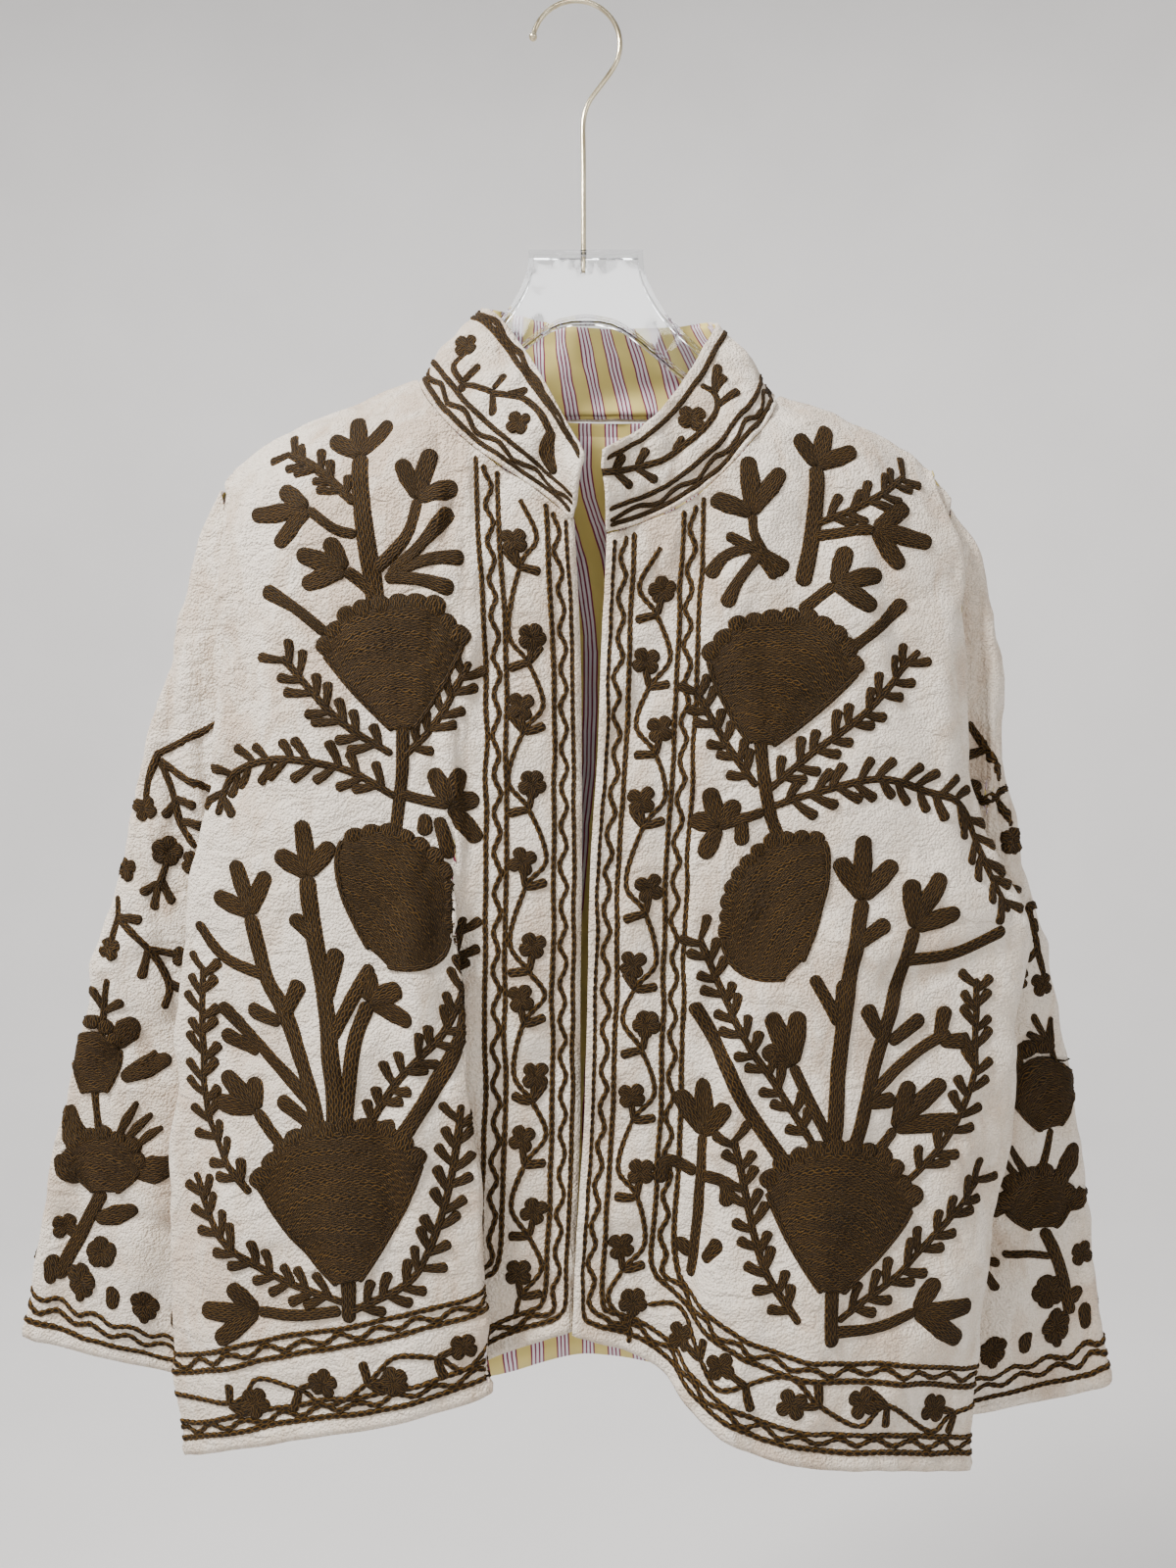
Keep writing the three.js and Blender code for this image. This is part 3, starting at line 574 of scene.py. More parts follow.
def bud(sketch, base, tips, width=10.5):
    base = np.array(base, float)
    for tip in tips:
        middle = base + (np.array(tip) - base) * 0.55
        stroke(sketch, [base, middle, tip], [width * 0.66, width, width * 0.8])


def sprig(sketch, points, twig=14.0, gap=13.5, stem=4.4, width=5.4):
    stroke(sketch, points, stem, lift=1.35)
    dense, reach, _ = pathThrough(points)
    place, side = gap * 0.7, 1
    while place < reach[-1] - gap * 0.35:
        here, ahead = pointsAt(dense, reach, np.array([place, place + 1.0]))
        direction = unit(ahead - here)
        for turn in (side, -side):
            angle = math.radians(50 + rng.uniform(-9, 9)) * turn
            c, s = math.cos(angle), math.sin(angle)
            way = np.array([direction[0] * c - direction[1] * s, direction[0] * s + direction[1] * c])
            size = twig * rng.uniform(1.0, 1.3)
            start = here + direction * (gap * 0.25 if turn != side else 0)
            stroke(sketch, [start, start + way * size * 0.55, start + way * size + direction * 1.5],
                   [stem * 0.8, width * 0.95, width * 1.15], lift=1.45, blunt=0.7)
        place += gap * rng.uniform(0.92, 1.08)
        side = -side


def flower(sketch, centre, size=17.5, petals=4, turn=45.0, width=8.2):
    centre = np.array(centre, float)
    for k in range(petals):
        angle = math.radians(turn + 360 / petals * k + rng.uniform(-7, 7))
        way = np.array([math.cos(angle), math.sin(angle)])
        stroke(sketch, [centre - way * 0.8, centre + way * (size / 2)], [width * 0.75, width], lift=1.7)


# charted points are millimetres across from the jacket's middle and down from the hook
def clothPoints(sketch, points):
    return [sketch["chart"](across, down) for across, down in points]


# a front's own part of each row begins at its long fold, and what lies nearer runs round behind it
def frontChart(panel, side):
    foldEnd, sideEnd = (int(u / pitch["column"]) for u in (3.2, 5.2))

    def place(across, down):
        row = np.interp(-down, panel["rows"], np.arange(len(panel["rows"])))
        i = int(min(row, len(panel["rows"]) - 2))
        line = lambda field: (field[i] * (1 - row + i) + field[i + 1] * (row - i))[:sideEnd]
        x, reach = side * (line(panel["points"][..., 0]) - middleX), line(panel["reach"])
        behind = np.flatnonzero(np.diff(x[:foldEnd]) < 0)
        first = behind[-1] + 1 if len(behind) else 0
        if across < x[first]:
            return reach[first] - (x[first] - across), -down
        if across > x[-1]:
            return reach[-1] + across - x[-1], -down
        return np.interp(across, x[first:], reach[first:]), -down
    return place


def backChart(panel, side, inward=24):
    def place(across, down):
        across = across - inward
        i = int(np.interp(-down, panel["rows"], np.arange(len(panel["rows"]))))
        x = side * (panel["points"][i, :, 0] - middleX)
        order = np.argsort(x)
        return np.interp(across, x[order], panel["reach"][i][order]), -down
    return place


def drawPlant(sketch, plant):
    to = lambda points: clothPoints(sketch, points)
    for width, points in plant["stems"]:
        stroke(sketch, to(points), width)
    for points in plant["clubs"]:
        stroke(sketch, to(points), [6.5] * (len(points) - 1) + [9.5])
    for base, *tips in plant["buds"]:
        bud(sketch, to([base])[0], to(tips))
    for twig, gap, points in plant["sprigs"]:
        sprig(sketch, to(points), twig, gap)
    for foot, lobes, footWidth, cap, bow, rim in plant["fans"]:
        fan(sketch, to([foot])[0], to(rim), lobes, footWidth, cap, bow)


plantRight = {
    "fans": [
        ((114, 477), 10, 13, 9, 4, [(164, 430), (152, 410), (122, 399), (96, 401), (76, 424)]),
        ((128, 616), 10, 15, 6, 24, [(149, 541), (118, 539), (94, 554), (84, 574), (84, 600)]),
        ((144, 810), 11, 15, 8, 7, [(202, 756), (184, 728), (150, 717), (119, 720), (99, 738)]),
    ],
    "buds": [
        ((143, 303), (147, 276), (163, 291), (124, 282)),
        ((174, 340), (193, 325), (212, 341), (194, 362)),
        ((150, 378), (161, 358), (181, 367), (178, 387)),
        ((105, 334), (97, 303), (117, 309), (80, 326)),
        ((172, 566), (176, 532), (192, 552), (156, 546)),
        ((208, 590), (219, 557), (233, 579), (197, 564)),
        ((204, 710), (226, 688), (230, 706), (206, 690)),
        ((133, 642), (134, 622), (113, 633), (106, 655)),
        ((202, 832), (220, 816), (238, 834), (227, 851)),
        ((85, 523), (78, 500), (67, 519), (67, 546), (96, 500)),
    ],
    "stems": [
        (10, [(143, 303), (140, 340), (130, 402)]), (6, [(174, 340), (158, 352), (143, 356)]),
        (7, [(150, 378), (136, 388), (130, 396)]), (7, [(105, 334), (112, 356), (132, 378)]),
        (6, [(190, 300), (168, 314), (145, 336)]),
        (7, [(114, 472), (114, 500), (116, 518), (118, 542)]),
        (9.5, [(172, 566), (164, 620), (156, 670), (152, 736)]),
        (9.5, [(208, 590), (199, 628), (183, 656), (160, 732)]), (7, [(246, 596), (226, 618), (200, 628)]),
        (7, [(132, 620), (146, 646), (155, 664)]), (7.5, [(133, 642), (142, 672), (149, 732)]),
        (8, [(229, 646), (202, 672), (166, 706)]), (7.5, [(204, 710), (192, 726), (174, 744)]),
        (8, [(122, 736), (94, 696), (77, 664), (71, 634)]), (6, [(149, 827), (176, 832), (202, 832)]),
        (8, [(144, 806), (144, 834)]), (6, [(118, 515), (100, 520), (85, 523)]),
    ],
    "clubs": [
        [(162, 417), (182, 401), (203, 388)], [(122, 378), (102, 362), (84, 340)],
        [(124, 380), (98, 372), (76, 371)], [(126, 382), (104, 384), (82, 391)],
        [(166, 606), (182, 590)], [(158, 640), (153, 610)], [(186, 652), (176, 630)],
        [(188, 656), (210, 648)], [(204, 676), (228, 664)], [(160, 722), (190, 702)],
        [(100, 528), (100, 542)], [(92, 530), (84, 556)],
    ],
    "sprigs": [
        (12, 12, [(145, 336), (168, 314), (190, 300)]),
        (14, 13, [(120, 492), (154, 470), (190, 431)]), (13, 13, [(114, 494), (92, 470), (73, 434)]),
        (14, 14, [(118, 518), (150, 501), (194, 495), (224, 505), (231, 530)]),
        (12, 13, [(206, 760), (234, 722), (240, 668), (241, 623)]),
        (13, 13, [(147, 822), (190, 810), (226, 786), (244, 751)]),
        (13, 13, [(144, 828), (104, 806), (86, 762), (77, 704)]),
        (12, 13, [(136, 724), (116, 690), (88, 662), (74, 626), (72, 592)]),
    ],
}
plantLeft = {
    "fans": [
        ((106, 486), 11, 15, 8, 6, [(73, 433), (92, 413), (120, 408), (148, 414), (167, 441)]),
        ((125, 623), 11, 15, 6, 24, [(144, 543), (122, 542), (102, 552), (88, 572), (82, 604)]),
        ((146, 815), 11, 15, 8, 7, [(106, 752), (120, 738), (150, 730), (180, 738), (201, 766)]),
    ],
    "buds": [
        ((143, 311), (131, 291), (151, 284), (169, 300)),
        ((101, 343), (99, 307), (121, 315), (76, 333)),
        ((178, 352), (202, 335), (216, 359), (196, 376)),
        ((152, 387), (160, 363), (183, 380), (176, 403)),
        ((168, 580), (152, 555), (168, 541), (188, 557)),
        ((200, 598), (197, 568), (216, 565), (228, 588)),
        ((188, 720), (197, 691), (218, 691), (228, 716)),
        ((124, 680), (110, 648), (127, 647), (106, 670)),
        ((200, 831), (213, 811), (235, 831), (228, 852)),
        ((70, 724), (55, 698), (71, 690), (85, 704)),
        ((80, 536), (74, 512), (63, 531), (70, 556), (92, 520)),
    ],
    "stems": [
        (9, [(143, 311), (140, 350), (132, 388)]), (6, [(101, 343), (104, 360), (120, 382)]),
        (6.5, [(178, 352), (158, 354), (140, 356)]), (7, [(152, 387), (140, 396), (130, 404)]),
        (6, [(85, 356), (104, 368), (116, 384)]), (7, [(105, 480), (108, 510), (112, 530), (118, 546)]),
        (8.5, [(168, 580), (158, 630), (151, 690), (148, 734)]),
        (8, [(200, 598), (184, 650), (172, 690), (160, 736)]), (7, [(194, 618), (226, 614), (258, 600)]),
        (7, [(136, 626), (146, 644), (152, 656)]), (6, [(124, 680), (134, 702), (146, 726)]),
        (7.5, [(64, 644), (82, 676), (96, 706), (118, 738)]), (6.5, [(223, 662), (198, 676), (171, 700)]),
        (6.5, [(188, 720), (176, 734), (168, 744)]), (6, [(146, 838), (174, 838), (200, 831)]),
        (8, [(146, 812), (145, 846)]), (6.5, [(70, 724), (68, 760), (62, 812)]),
        (6, [(108, 527), (92, 532), (80, 536)]),
    ],
    "clubs": [
        [(158, 430), (178, 414), (197, 396)], [(100, 364), (84, 370), (74, 383)],
        [(106, 368), (92, 386), (84, 402)], [(104, 366), (124, 378)], [(162, 608), (184, 594)],
        [(152, 656), (156, 628)], [(178, 664), (168, 644)], [(184, 668), (206, 652)],
        [(216, 668), (220, 646)], [(216, 668), (234, 668)], [(170, 704), (188, 702)],
        [(66, 748), (48, 742), (44, 756)], [(70, 748), (82, 752), (84, 766)],
        [(70, 800), (80, 786)], [(62, 800), (54, 790)], [(94, 532), (94, 548)],
    ],
    "sprigs": [
        (13, 12, [(142, 348), (176, 334), (204, 312)]),
        (13, 13, [(110, 514), (136, 492), (170, 466), (206, 427)]),
        (11, 12, [(103, 512), (84, 484), (66, 452)]),
        (14, 14, [(112, 524), (140, 515), (177, 507), (211, 515), (235, 526), (247, 558), (262, 590)]),
        (12, 13, [(136, 728), (112, 690), (88, 652), (68, 604)]),
        (12, 13, [(126, 832), (104, 796), (88, 724)]),
        (12, 13, [(196, 752), (222, 724), (238, 684), (241, 630)]),
        (13, 13, [(150, 832), (184, 810), (218, 780), (244, 754)]),
    ],
}
# lines of one chain, in threes: straight, waved, straight. The first number is the distance from the
# front edge and the second the height above the hem.
borderLines = {
    "outer": [(5, 10.5), (11, 15.5), (17.5, 20.5)], "inner": [(47, 52), (53, 57.5), (59.5, 63)], "width": 3.3,
    "lift": 1.2, "wave": 2.0, "waveLength": 24, "corner": 7,
}


def edgeLine(places, heights):
    order = np.argsort(places)
    return lambda a: np.interp(a, np.asarray(places)[order], np.asarray(heights)[order])


def waved(points, amount, length):
    dense, reach, _ = pathThrough(points)
    count = max(8, round(reach[-1] / 4))
    centre = pointsAt(dense, reach, np.linspace(0, reach[-1], count))
    direction = unit(np.gradient(centre, axis=0))
    phase = np.cumsum(rng.uniform(0.85, 1.15, count)) * (reach[-1] / count) / length * 2 * np.pi
    side = np.column_stack([-direction[:, 1], direction[:, 0]])
    return centre + side * (np.sin(phase) * amount * rng.uniform(0.8, 1.15, count))[:, None]


def wobble(points, amount=0.5):
    points = np.array(points, float)
    return points + rng.normal(0, amount, points.shape)


# three lines side by side, the middle one waved
def tripleLine(sketch, paths):
    for k, path in enumerate(paths):
        path = wobble(path, 0.35)
        if k == 1:
            path = waved(path, borderLines["wave"], borderLines["waveLength"])
        stroke(sketch, path, borderLines["width"], lift=borderLines["lift"])


# down the front edge, round the corner and along the hem
def cornerBorder(sketch, hem, top, last):
    corner = borderLines["corner"]
    for group in ("outer", "inner"):
        paths = []
        for edge, height in borderLines[group]:
            path = [(edge, z) for z in np.arange(top(edge) - 4, hem(edge) + height + corner, -22)]
            path += [(edge + corner * 0.3, hem(edge) + height + corner * 0.3)]
            path += [(a, hem(a) + height) for a in np.arange(edge + corner, last, 16)]
            paths.append(path + [(last, hem(last) + height)])
        tripleLine(sketch, paths)


def leaf(to, node, middle, tip):
    return [to(*node)] + [to(node[0] + ahead, node[1] + aside) for ahead, aside in (middle, tip)]


# a stem that swings from side to side, a flower on each swing and a leaf or two at its foot.
# places are (along, across) on the border, and to() brings them onto the cloth
def vine(sketch, places, to, start, end):
    middle = np.mean([across for _, across in places])
    sides = [1 if across > middle else -1 for _, across in places]
    nodes = [(reach - 16, across - side * 2) for (reach, across), side in zip(places, sides)]
    path = [to(*start)]
    for (reach, across), side, node in zip(places, sides, nodes):
        path += [to(reach + 2, across - side * 14.5), to(*node)]
    stroke(sketch, wobble(path + [to(*end)], 0.4), 3.2, lift=1.3)
    for (reach, across), side, node in zip(places, sides, nodes):
        petals = 5 if rng.random() < 0.3 else 4
        flower(sketch, to(reach, across), rng.uniform(18, 20), petals, rng.uniform(20, 70))
        stroke(sketch, [to(reach - 5, across), to(*node)], 4.2, lift=1.4)
        rise = rng.uniform(-4, 5)
        middle, tip = (rise * 0.3, -side * 6), (rise, -side * 13.5)
        stroke(sketch, leaf(to, node, middle, tip), [4.2, 5.2, 5.6], lift=1.4, blunt=0.6)
        if rng.random() < 0.3:
            middle, tip = (5, side * 4), (11, side * 8)
            stroke(sketch, leaf(to, node, middle, tip), [3.6, 4.6, 4.8], lift=1.35, blunt=0.6)


# the grid row that stands at a height, on the fronts and the back
def rowAt(rows, heights):
    return (heights - rows[0]) / pitch["row"]


def buildFront(panel, hemHeights, neck, side):
    z = np.arange(-950, -222, pitch["row"])
    u = np.arange(0, 7 + 1e-9, pitch["column"])
    cloth = makePanel(z, frontField(panel, u, z), (0, -1, 0))
    hem = spline(hemHeights, u)
    top = np.full_like(u, -300.0)
    for _ in range(12):
        x = sample(cloth["points"][..., 0], rowAt(z, top), np.arange(len(u)))
        top = np.where(u < frontColumns.index("neck"), along(neck, "x", x, "z"), along(ridge, "x", x, "z"))
    cloth.update(hem=hem, top=top, chart=frontChart(cloth, side))
    return cloth


def buildBack():
    z = np.arange(-950, -222, pitch["row"])
    u = np.linspace(0, 1, 181)
    cloth = makePanel(z, backField(u, z), (0, 1, 0))
    low = sample(cloth["points"][..., 0], rowAt(z, np.full_like(u, -900.0)), np.arange(len(u)))
    top = np.full_like(u, -260.0)
    for _ in range(8):
        x = sample(cloth["points"][..., 0], rowAt(z, top), np.arange(len(u)))
        atNeck = (x > jacket["neckPointRight"]) & (x < jacket["neckPointLeft"])
        top = np.minimum(along(ridge, "x", x, "z"), np.where(atNeck, along(backNeck, "x", x, "z"), 0))
    cloth.update(hem=along(backHem, "x", low, "z"), top=top)
    return cloth


def buildSleeve(sleeve, panel, side):
    s = np.linspace(0, 1, 240)
    angle = np.linspace(-np.pi, np.pi, 2 * foldColumn + 1)
    points = sleeveField(sleeve, panel, side, s, angle)
    middle = points.mean(axis=1)
    reach = runAlong(middle)
    outward = points[120, foldColumn // 2] - middle[120]
    rows = (reach[-1] - reach)[::-1]  # they count up from the cuff
    cloth = makePanel(rows, points[::-1], outward, zero=foldColumn, ring=True)
    columns = np.zeros(2 * foldColumn + 1)
    cloth.update(hem=columns, top=columns + rows[-1])
    return cloth


def edgeReach(cloth, heights):
    row = (heights - cloth["rows"][0]) / (cloth["rows"][1] - cloth["rows"][0])
    return sample(cloth["reach"], row, np.arange(len(heights)))


def neckEdge():
    paths = []
    for name in ("front_right", "back", "front_left"):
        cloth = cloths[name]
        row = rowAt(cloth["rows"], cloth["top"])
        edge = sample(cloth["points"], row, np.arange(len(row)))
        first, last = 0, frontColumns.index("neck") / pitch["column"]
        if name == "back":
            ends = [jacket["neckPointRight"], jacket["neckPointLeft"]]
            first, last = np.interp(ends, edge[:, 0], np.arange(len(edge)))
        columns = np.linspace(first, last, 60)
        if name == "front_left":
            columns = columns[::-1]
        line = np.column_stack([np.interp(columns, np.arange(len(edge)), edge[:, k]) for k in range(3)])
        reach = runAlong(line)
        paths.append((line, reach / reach[-1]))
    return paths


def collarField(w, h):
    third = np.minimum(w.astype(int), 2)
    foot = np.empty((len(w), 3))
    for k, (line, share) in enumerate(neckEdge()):
        inside = third == k
        foot[inside] = pointsAt(line, share, w[inside] - k)
    top = np.column_stack([along(collarTop, "w", w, name) for name in "xyz"])
    foot = foot + unit(top - foot) * jacket["collarLift"]
    points = foot[None] * (1 - h[:, None, None]) + top[None] * h[:, None, None]
    outward = points - np.array([*jacket["neckMiddle"], 0])
    outward[..., 2] = 0
    points = points + unit(outward) * jacket["collarBulge"] * np.sin(np.pi * h)[:, None, None]
    fromCrease = (w[None] - tipCrease["place"] + tipCrease["lean"] * h[:, None]) / tipCrease["width"]
    depth = np.exp(-fromCrease ** 2) * (0.35 + 0.65 * h[:, None])
    points[..., 1] += tipCrease["depth"] * depth * np.sin(np.pi * np.minimum(w / tipCrease["reach"], 1))
    return points


def buildCollar():
    h = np.linspace(0, 1, 31)
    w = np.linspace(0, 3, 3 * collarThird + 1)
    cloth = makePanel(h * collarHeight, collarField(w, h), (-0.5, -1, 0))
    # one scale along the whole height, so that lines across the band stay straight
    cloth["reach"] = np.tile(cloth["reach"][len(h) // 2], (len(h), 1))
    cloth.update(hem=np.zeros(len(w)), top=np.full(len(w), collarHeight))
    return cloth


pitch = {"row": 2.5, "column": 0.04}
middleX = 7.7  # the charts' middle, between the two front edges
foldColumn = 72  # a sleeve's column at its outer fold; the back's columns come before, the front's after
collarHeight, collarThird = 62.0, 120
cloths = {
    "front_right": buildFront(frontRight, hemRight, neckRight, -1),
    "front_left": buildFront(frontLeft, hemLeft, neckLeft, 1),
    "back": buildBack(),
    "sleeve_right": buildSleeve(sleeveRight, frontRight, "Right"),
    "sleeve_left": buildSleeve(sleeveLeft, frontLeft, "Left"),
}
cloths["collar"] = buildCollar()

# each crease: from x, z to x, z, its height above the cloth and its width
creases = {
    "front_right": [
        (-120, -262, -70, -420, 2.4, 14), (-190, -300, -120, -420, 2.6, 18),
        (-215, -380, -150, -560, 2.4, 16), (-225, -560, -190, -760, -2.2, 14),
        (-150, -640, -130, -900, 3.2, 22), (-100, -560, -96, -900, 3.4, 12),
        (-205, -700, -215, -915, 3.0, 16), (-60, -420, -66, -620, -1.8, 10),
        (-180, -860, -120, -880, 1.6, 10), (-150, -380, -90, -395, -1.4, 9),
        (-235, -505, -160, -525, -1.8, 10), (-30, -500, -34, -830, 1.3, 9),
        (-190, -330, -206, -470, -1.8, 9), (-228, -420, -222, -560, 2.0, 8),
        (-170, -585, -100, -640, -1.5, 9), (-205, -800, -150, -790, -1.4, 8),
        (-120, -700, -90, -860, -1.8, 8), (-50, -380, -20, -470, 1.4, 9),
    ],
    "front_left": [
        (136, -275, 90, -430, 2.4, 14), (205, -310, 150, -430, 2.6, 18), (228, -400, 232, -560, 3.0, 10),
        (276, -600, 200, -560, 3.6, 12), (268, -612, 180, -640, -2.8, 12), (240, -650, 226, -860, 3.0, 16),
        (90, -600, 60, -860, -3.2, 13), (150, -700, 140, -920, 3.0, 18), (120, -520, 110, -640, -2.2, 12),
        (112, -630, 76, -760, 3.2, 10), (196, -620, 150, -600, 2.0, 9), (210, -860, 160, -900, 1.8, 10),
        (180, -330, 212, -480, -2.0, 9), (36, -500, 34, -760, 1.4, 9), (215, -500, 150, -520, 1.6, 8),
        (190, -740, 130, -720, -1.6, 9), (110, -800, 90, -900, 2.2, 9), (60, -400, 30, -480, -1.3, 9),
    ],
    "back": [
        (-180, -300, -120, -470, -2.4, 18), (190, -310, 120, -480, -2.6, 18),
        (-150, -560, -170, -900, 3.0, 20), (140, -560, 160, -900, 3.2, 20),
        (-60, -420, -40, -880, -2.4, 16), (60, -450, 70, -890, 2.4, 15),
        (-205, -480, -120, -530, 2.2, 12), (210, -520, 130, -560, 2.4, 12),
        (-100, -700, -30, -720, 1.5, 10), (10, -300, 20, -520, -1.6, 14),
        (200, -760, 120, -800, -1.8, 11), (-190, -760, -110, -790, 1.8, 11),
    ],
    "sleeve_right": [
        (-256, -400, -246, -560, 2.6, 7), (-285, -560, -262, -640, -2.2, 8),
        (-270, -600, -330, -640, 1.8, 9), (-250, -660, -320, -700, -2.0, 9),
        (-262, -700, -300, -880, 2.8, 13), (-330, -760, -345, -880, -2.2, 10),
        (-240, -780, -262, -905, 2.2, 10), (-300, -790, -250, -820, -1.6, 8),
    ],
    "sleeve_left": [
        (268, -400, 264, -545, 3.2, 6), (290, -560, 300, -660, -2.2, 8), (272, -600, 318, -620, 1.8, 8),
        (264, -660, 318, -700, -2.0, 9), (280, -700, 290, -890, 2.8, 13), (322, -760, 338, -890, -2.2, 10),
        (240, -800, 252, -925, 2.2, 10), (300, -800, 250, -830, -1.6, 8),
    ],
    "collar": [(-30, -215, 0, -330, 1.1, 6), (60, -230, 40, -320, 0.8, 8)],
}
for name, lines in creases.items():
    crease(cloths[name], lines)
print("panels shaped")


# charts of the sleeves and the collar, and the rows along the cuffs
plantSleeveRight = {
    "stems": [
        (4.5, [(239, 471), (262, 482), (283, 491)]), (4.5, [(281, 490), (286, 506), (289, 520)]),
        (4.5, [(280, 494), (262, 506), (244, 514)]),
        (4.5, [(280, 494), (272, 512), (266, 536), (256, 552)]),
        (4.5, [(275, 560), (281, 576)]), (4.5, [(310, 583), (309, 597), (313, 614)]),
        (4.5, [(309, 597), (288, 618), (276, 642), (279, 658)]), (4.5, [(288, 618), (270, 623)]),
        (4.5, [(321, 684), (319, 658), (314, 637)]), (5, [(325, 712), (322, 750)]),
        (8.5, [(320, 778), (336, 806), (352, 838)]), (4.5, [(298, 696), (284, 686)]),
    ],
    "leaves": [
        (6.5, [(268, 520), (277, 532)]), (6.5, [(270, 519), (254, 525)]), (6.5, [(266, 534), (249, 538)]),
        (6.5, [(281, 574), (293, 582)]), (6.5, [(281, 574), (285, 593)]), (6.5, [(280, 572), (272, 589)]),
        (6.5, [(309, 597), (291, 599)]), (6.5, [(288, 618), (293, 638)]), (6.5, [(276, 640), (268, 646)]),
        (6.5, [(319, 658), (327, 643)]), (6.5, [(319, 660), (304, 652)]),
        (15, [(313, 684), (303, 672), (296, 664)]), (13, [(308, 704), (290, 696), (274, 690)]),
        (15, [(328, 756), (340, 742), (345, 722)]), (16, [(303, 764), (286, 764), (270, 760)]),
        (6, [(310, 744), (304, 731), (297, 719)]), (6, [(305, 746), (297, 736), (287, 727)]),
        (6, [(299, 750), (290, 742), (280, 736)]), (12, [(337, 774), (346, 765), (351, 755)]),
        (12, [(326, 798), (312, 795), (297, 790)]), (9, [(350, 838), (357, 822)]),
        (6.5, [(268, 806), (256, 801)]), (6.5, [(268, 808), (258, 818)]),
    ],
    "flowers": [
        (18, 4, (289, 526)), (18, 4, (258, 562)), (21, 5, (275, 554)), (17, 4, (303, 566)),
        (16, 4, (313, 618)), (16, 4, (267, 624)), (19, 4, (348, 804)), (22, 5, (322, 820)),
    ],
    "fans": [
        ((325, 714), 5, 16, 6, 5, [(341, 684), (338, 670), (322, 666), (308, 682)]),
        ((319, 780), 7, 16, 6, 6, [(344, 762), (340, 746), (318, 740), (298, 748), (294, 762)]),
    ],
}
plantSleeveLeft = {
    "stems": [
        (4.5, [(273, 511), (264, 518), (271, 531), (275, 537)]), (4.5, [(293, 617), (286, 626)]),
        (4.5, [(288, 587), (293, 617), (299, 635)]),
        (4.5, [(290, 660), (297, 672), (304, 682), (309, 697)]),
        (5, [(304, 736), (301, 754), (297, 771)]), (7, [(299, 802), (312, 832), (319, 860)]),
        (4.5, [(272, 819), (289, 818), (304, 820)]), (4.5, [(259, 560), (268, 574), (284, 580)]),
        (4.5, [(245, 470), (256, 488), (266, 508)]),
    ],
    "leaves": [
        (6.5, [(304, 662), (304, 682)]), (6.5, [(287, 673), (302, 682)]), (6, [(275, 746), (290, 770)]),
        (6, [(272, 756), (286, 774)]), (6, [(269, 768), (278, 779)]),
        (13, [(321, 746), (318, 760), (309, 774)]), (11, [(332, 776), (324, 785), (312, 790)]),
        (6.5, [(261, 825), (271, 825)]), (6.5, [(262, 831), (269, 844)]),
        (9, [(288, 587), (292, 596)]), (9, [(293, 607), (289, 598)]), (10, [(326, 842), (318, 852)]),
        (6.5, [(256, 488), (243, 492)]), (6.5, [(264, 518), (252, 522)]), (6.5, [(268, 574), (262, 588)]),
        (15, [(318, 712), (328, 700), (332, 686)]), (13, [(290, 700), (276, 700), (264, 704)]),
        (15, [(276, 785), (266, 786), (256, 790)]),
    ],
    "flowers": [
        (19, 5, (275, 547)), (17, 4, (297, 641)), (24, 5, (303, 844)), (18, 4, (326, 820)),
        (18, 4, (252, 556)), (16, 4, (280, 636)), (17, 4, (262, 650)), (17, 4, (246, 514)),
    ],
    "fans": [
        ((304, 736), 6, 15, 6, 5, [(322, 704), (312, 686), (292, 682), (278, 694), (276, 714)]),
        ((299, 802), 6, 16, 6, 6, [(322, 784), (310, 768), (292, 764), (276, 772), (272, 788)]),
    ],
}
collarRight = {
    "stems": [
        (4.2, [(78, 233), (86, 243), (80, 255), (73, 258), (61, 264), (51, 268), (40, 271), (30, 281),
               (23, 296)]),
    ],
    "leaves": [
        (6.2, [(79.5, 253), (68, 244)]), (6.2, [(80, 255), (81, 262)]), (6.2, [(60, 264), (59, 281)]),
        (6.2, [(60, 262), (51, 253)]), (6.2, [(51, 268), (37, 265)]),
        (9, [(23, 293), (26, 305), (21, 319)]),
    ],
    "flowers": [(17, 4, (78, 229)), (17, 4, (43, 287))],
    "fans": [],
}
collarLeft = {
    "stems": [
        (4.2, [(2.5, 322), (16, 320), (30, 316), (45, 311), (56, 303), (68, 293), (76, 283), (82, 272),
               (80, 262), (71, 257)]),
        (4.2, [(53, 304), (59, 294)]),
    ],
    "leaves": [
        (6.2, [(16, 320), (22, 308)]), (6.2, [(16, 320), (27, 329)]), (6.2, [(30, 315), (37, 303)]),
        (6.2, [(30, 317), (43, 324)]), (6.2, [(82, 272), (96, 260)]), (6.2, [(80, 262), (88, 248)]),
        (6.2, [(80, 260), (84, 240)]),
    ],
    "flowers": [(20, 4, (65, 281))],
    "fans": [],
}
# along the collar's back, counted from the right shoulder, and up from its foot
collarBack = {
    "stems": [(3.6, [(2, 30), (24, 40), (46, 27), (70, 40), (94, 28), (118, 41), (142, 28), (166, 34)])],
    "leaves": [
        (6.2, [(12, 34), (18, 24)]), (6.2, [(34, 34), (42, 44)]), (6.2, [(58, 34), (64, 22)]),
        (6.2, [(82, 34), (90, 45)]), (6.2, [(106, 34), (112, 23)]), (6.2, [(130, 34), (138, 45)]),
        (6.2, [(150, 30), (158, 22)]),
    ],
    "flowers": [
        (17, 4, (26, 24)), (17, 4, (50, 43)), (17, 4, (74, 26)), (17, 4, (98, 44)), (17, 4, (122, 26)),
    ],
    "fans": [],
}
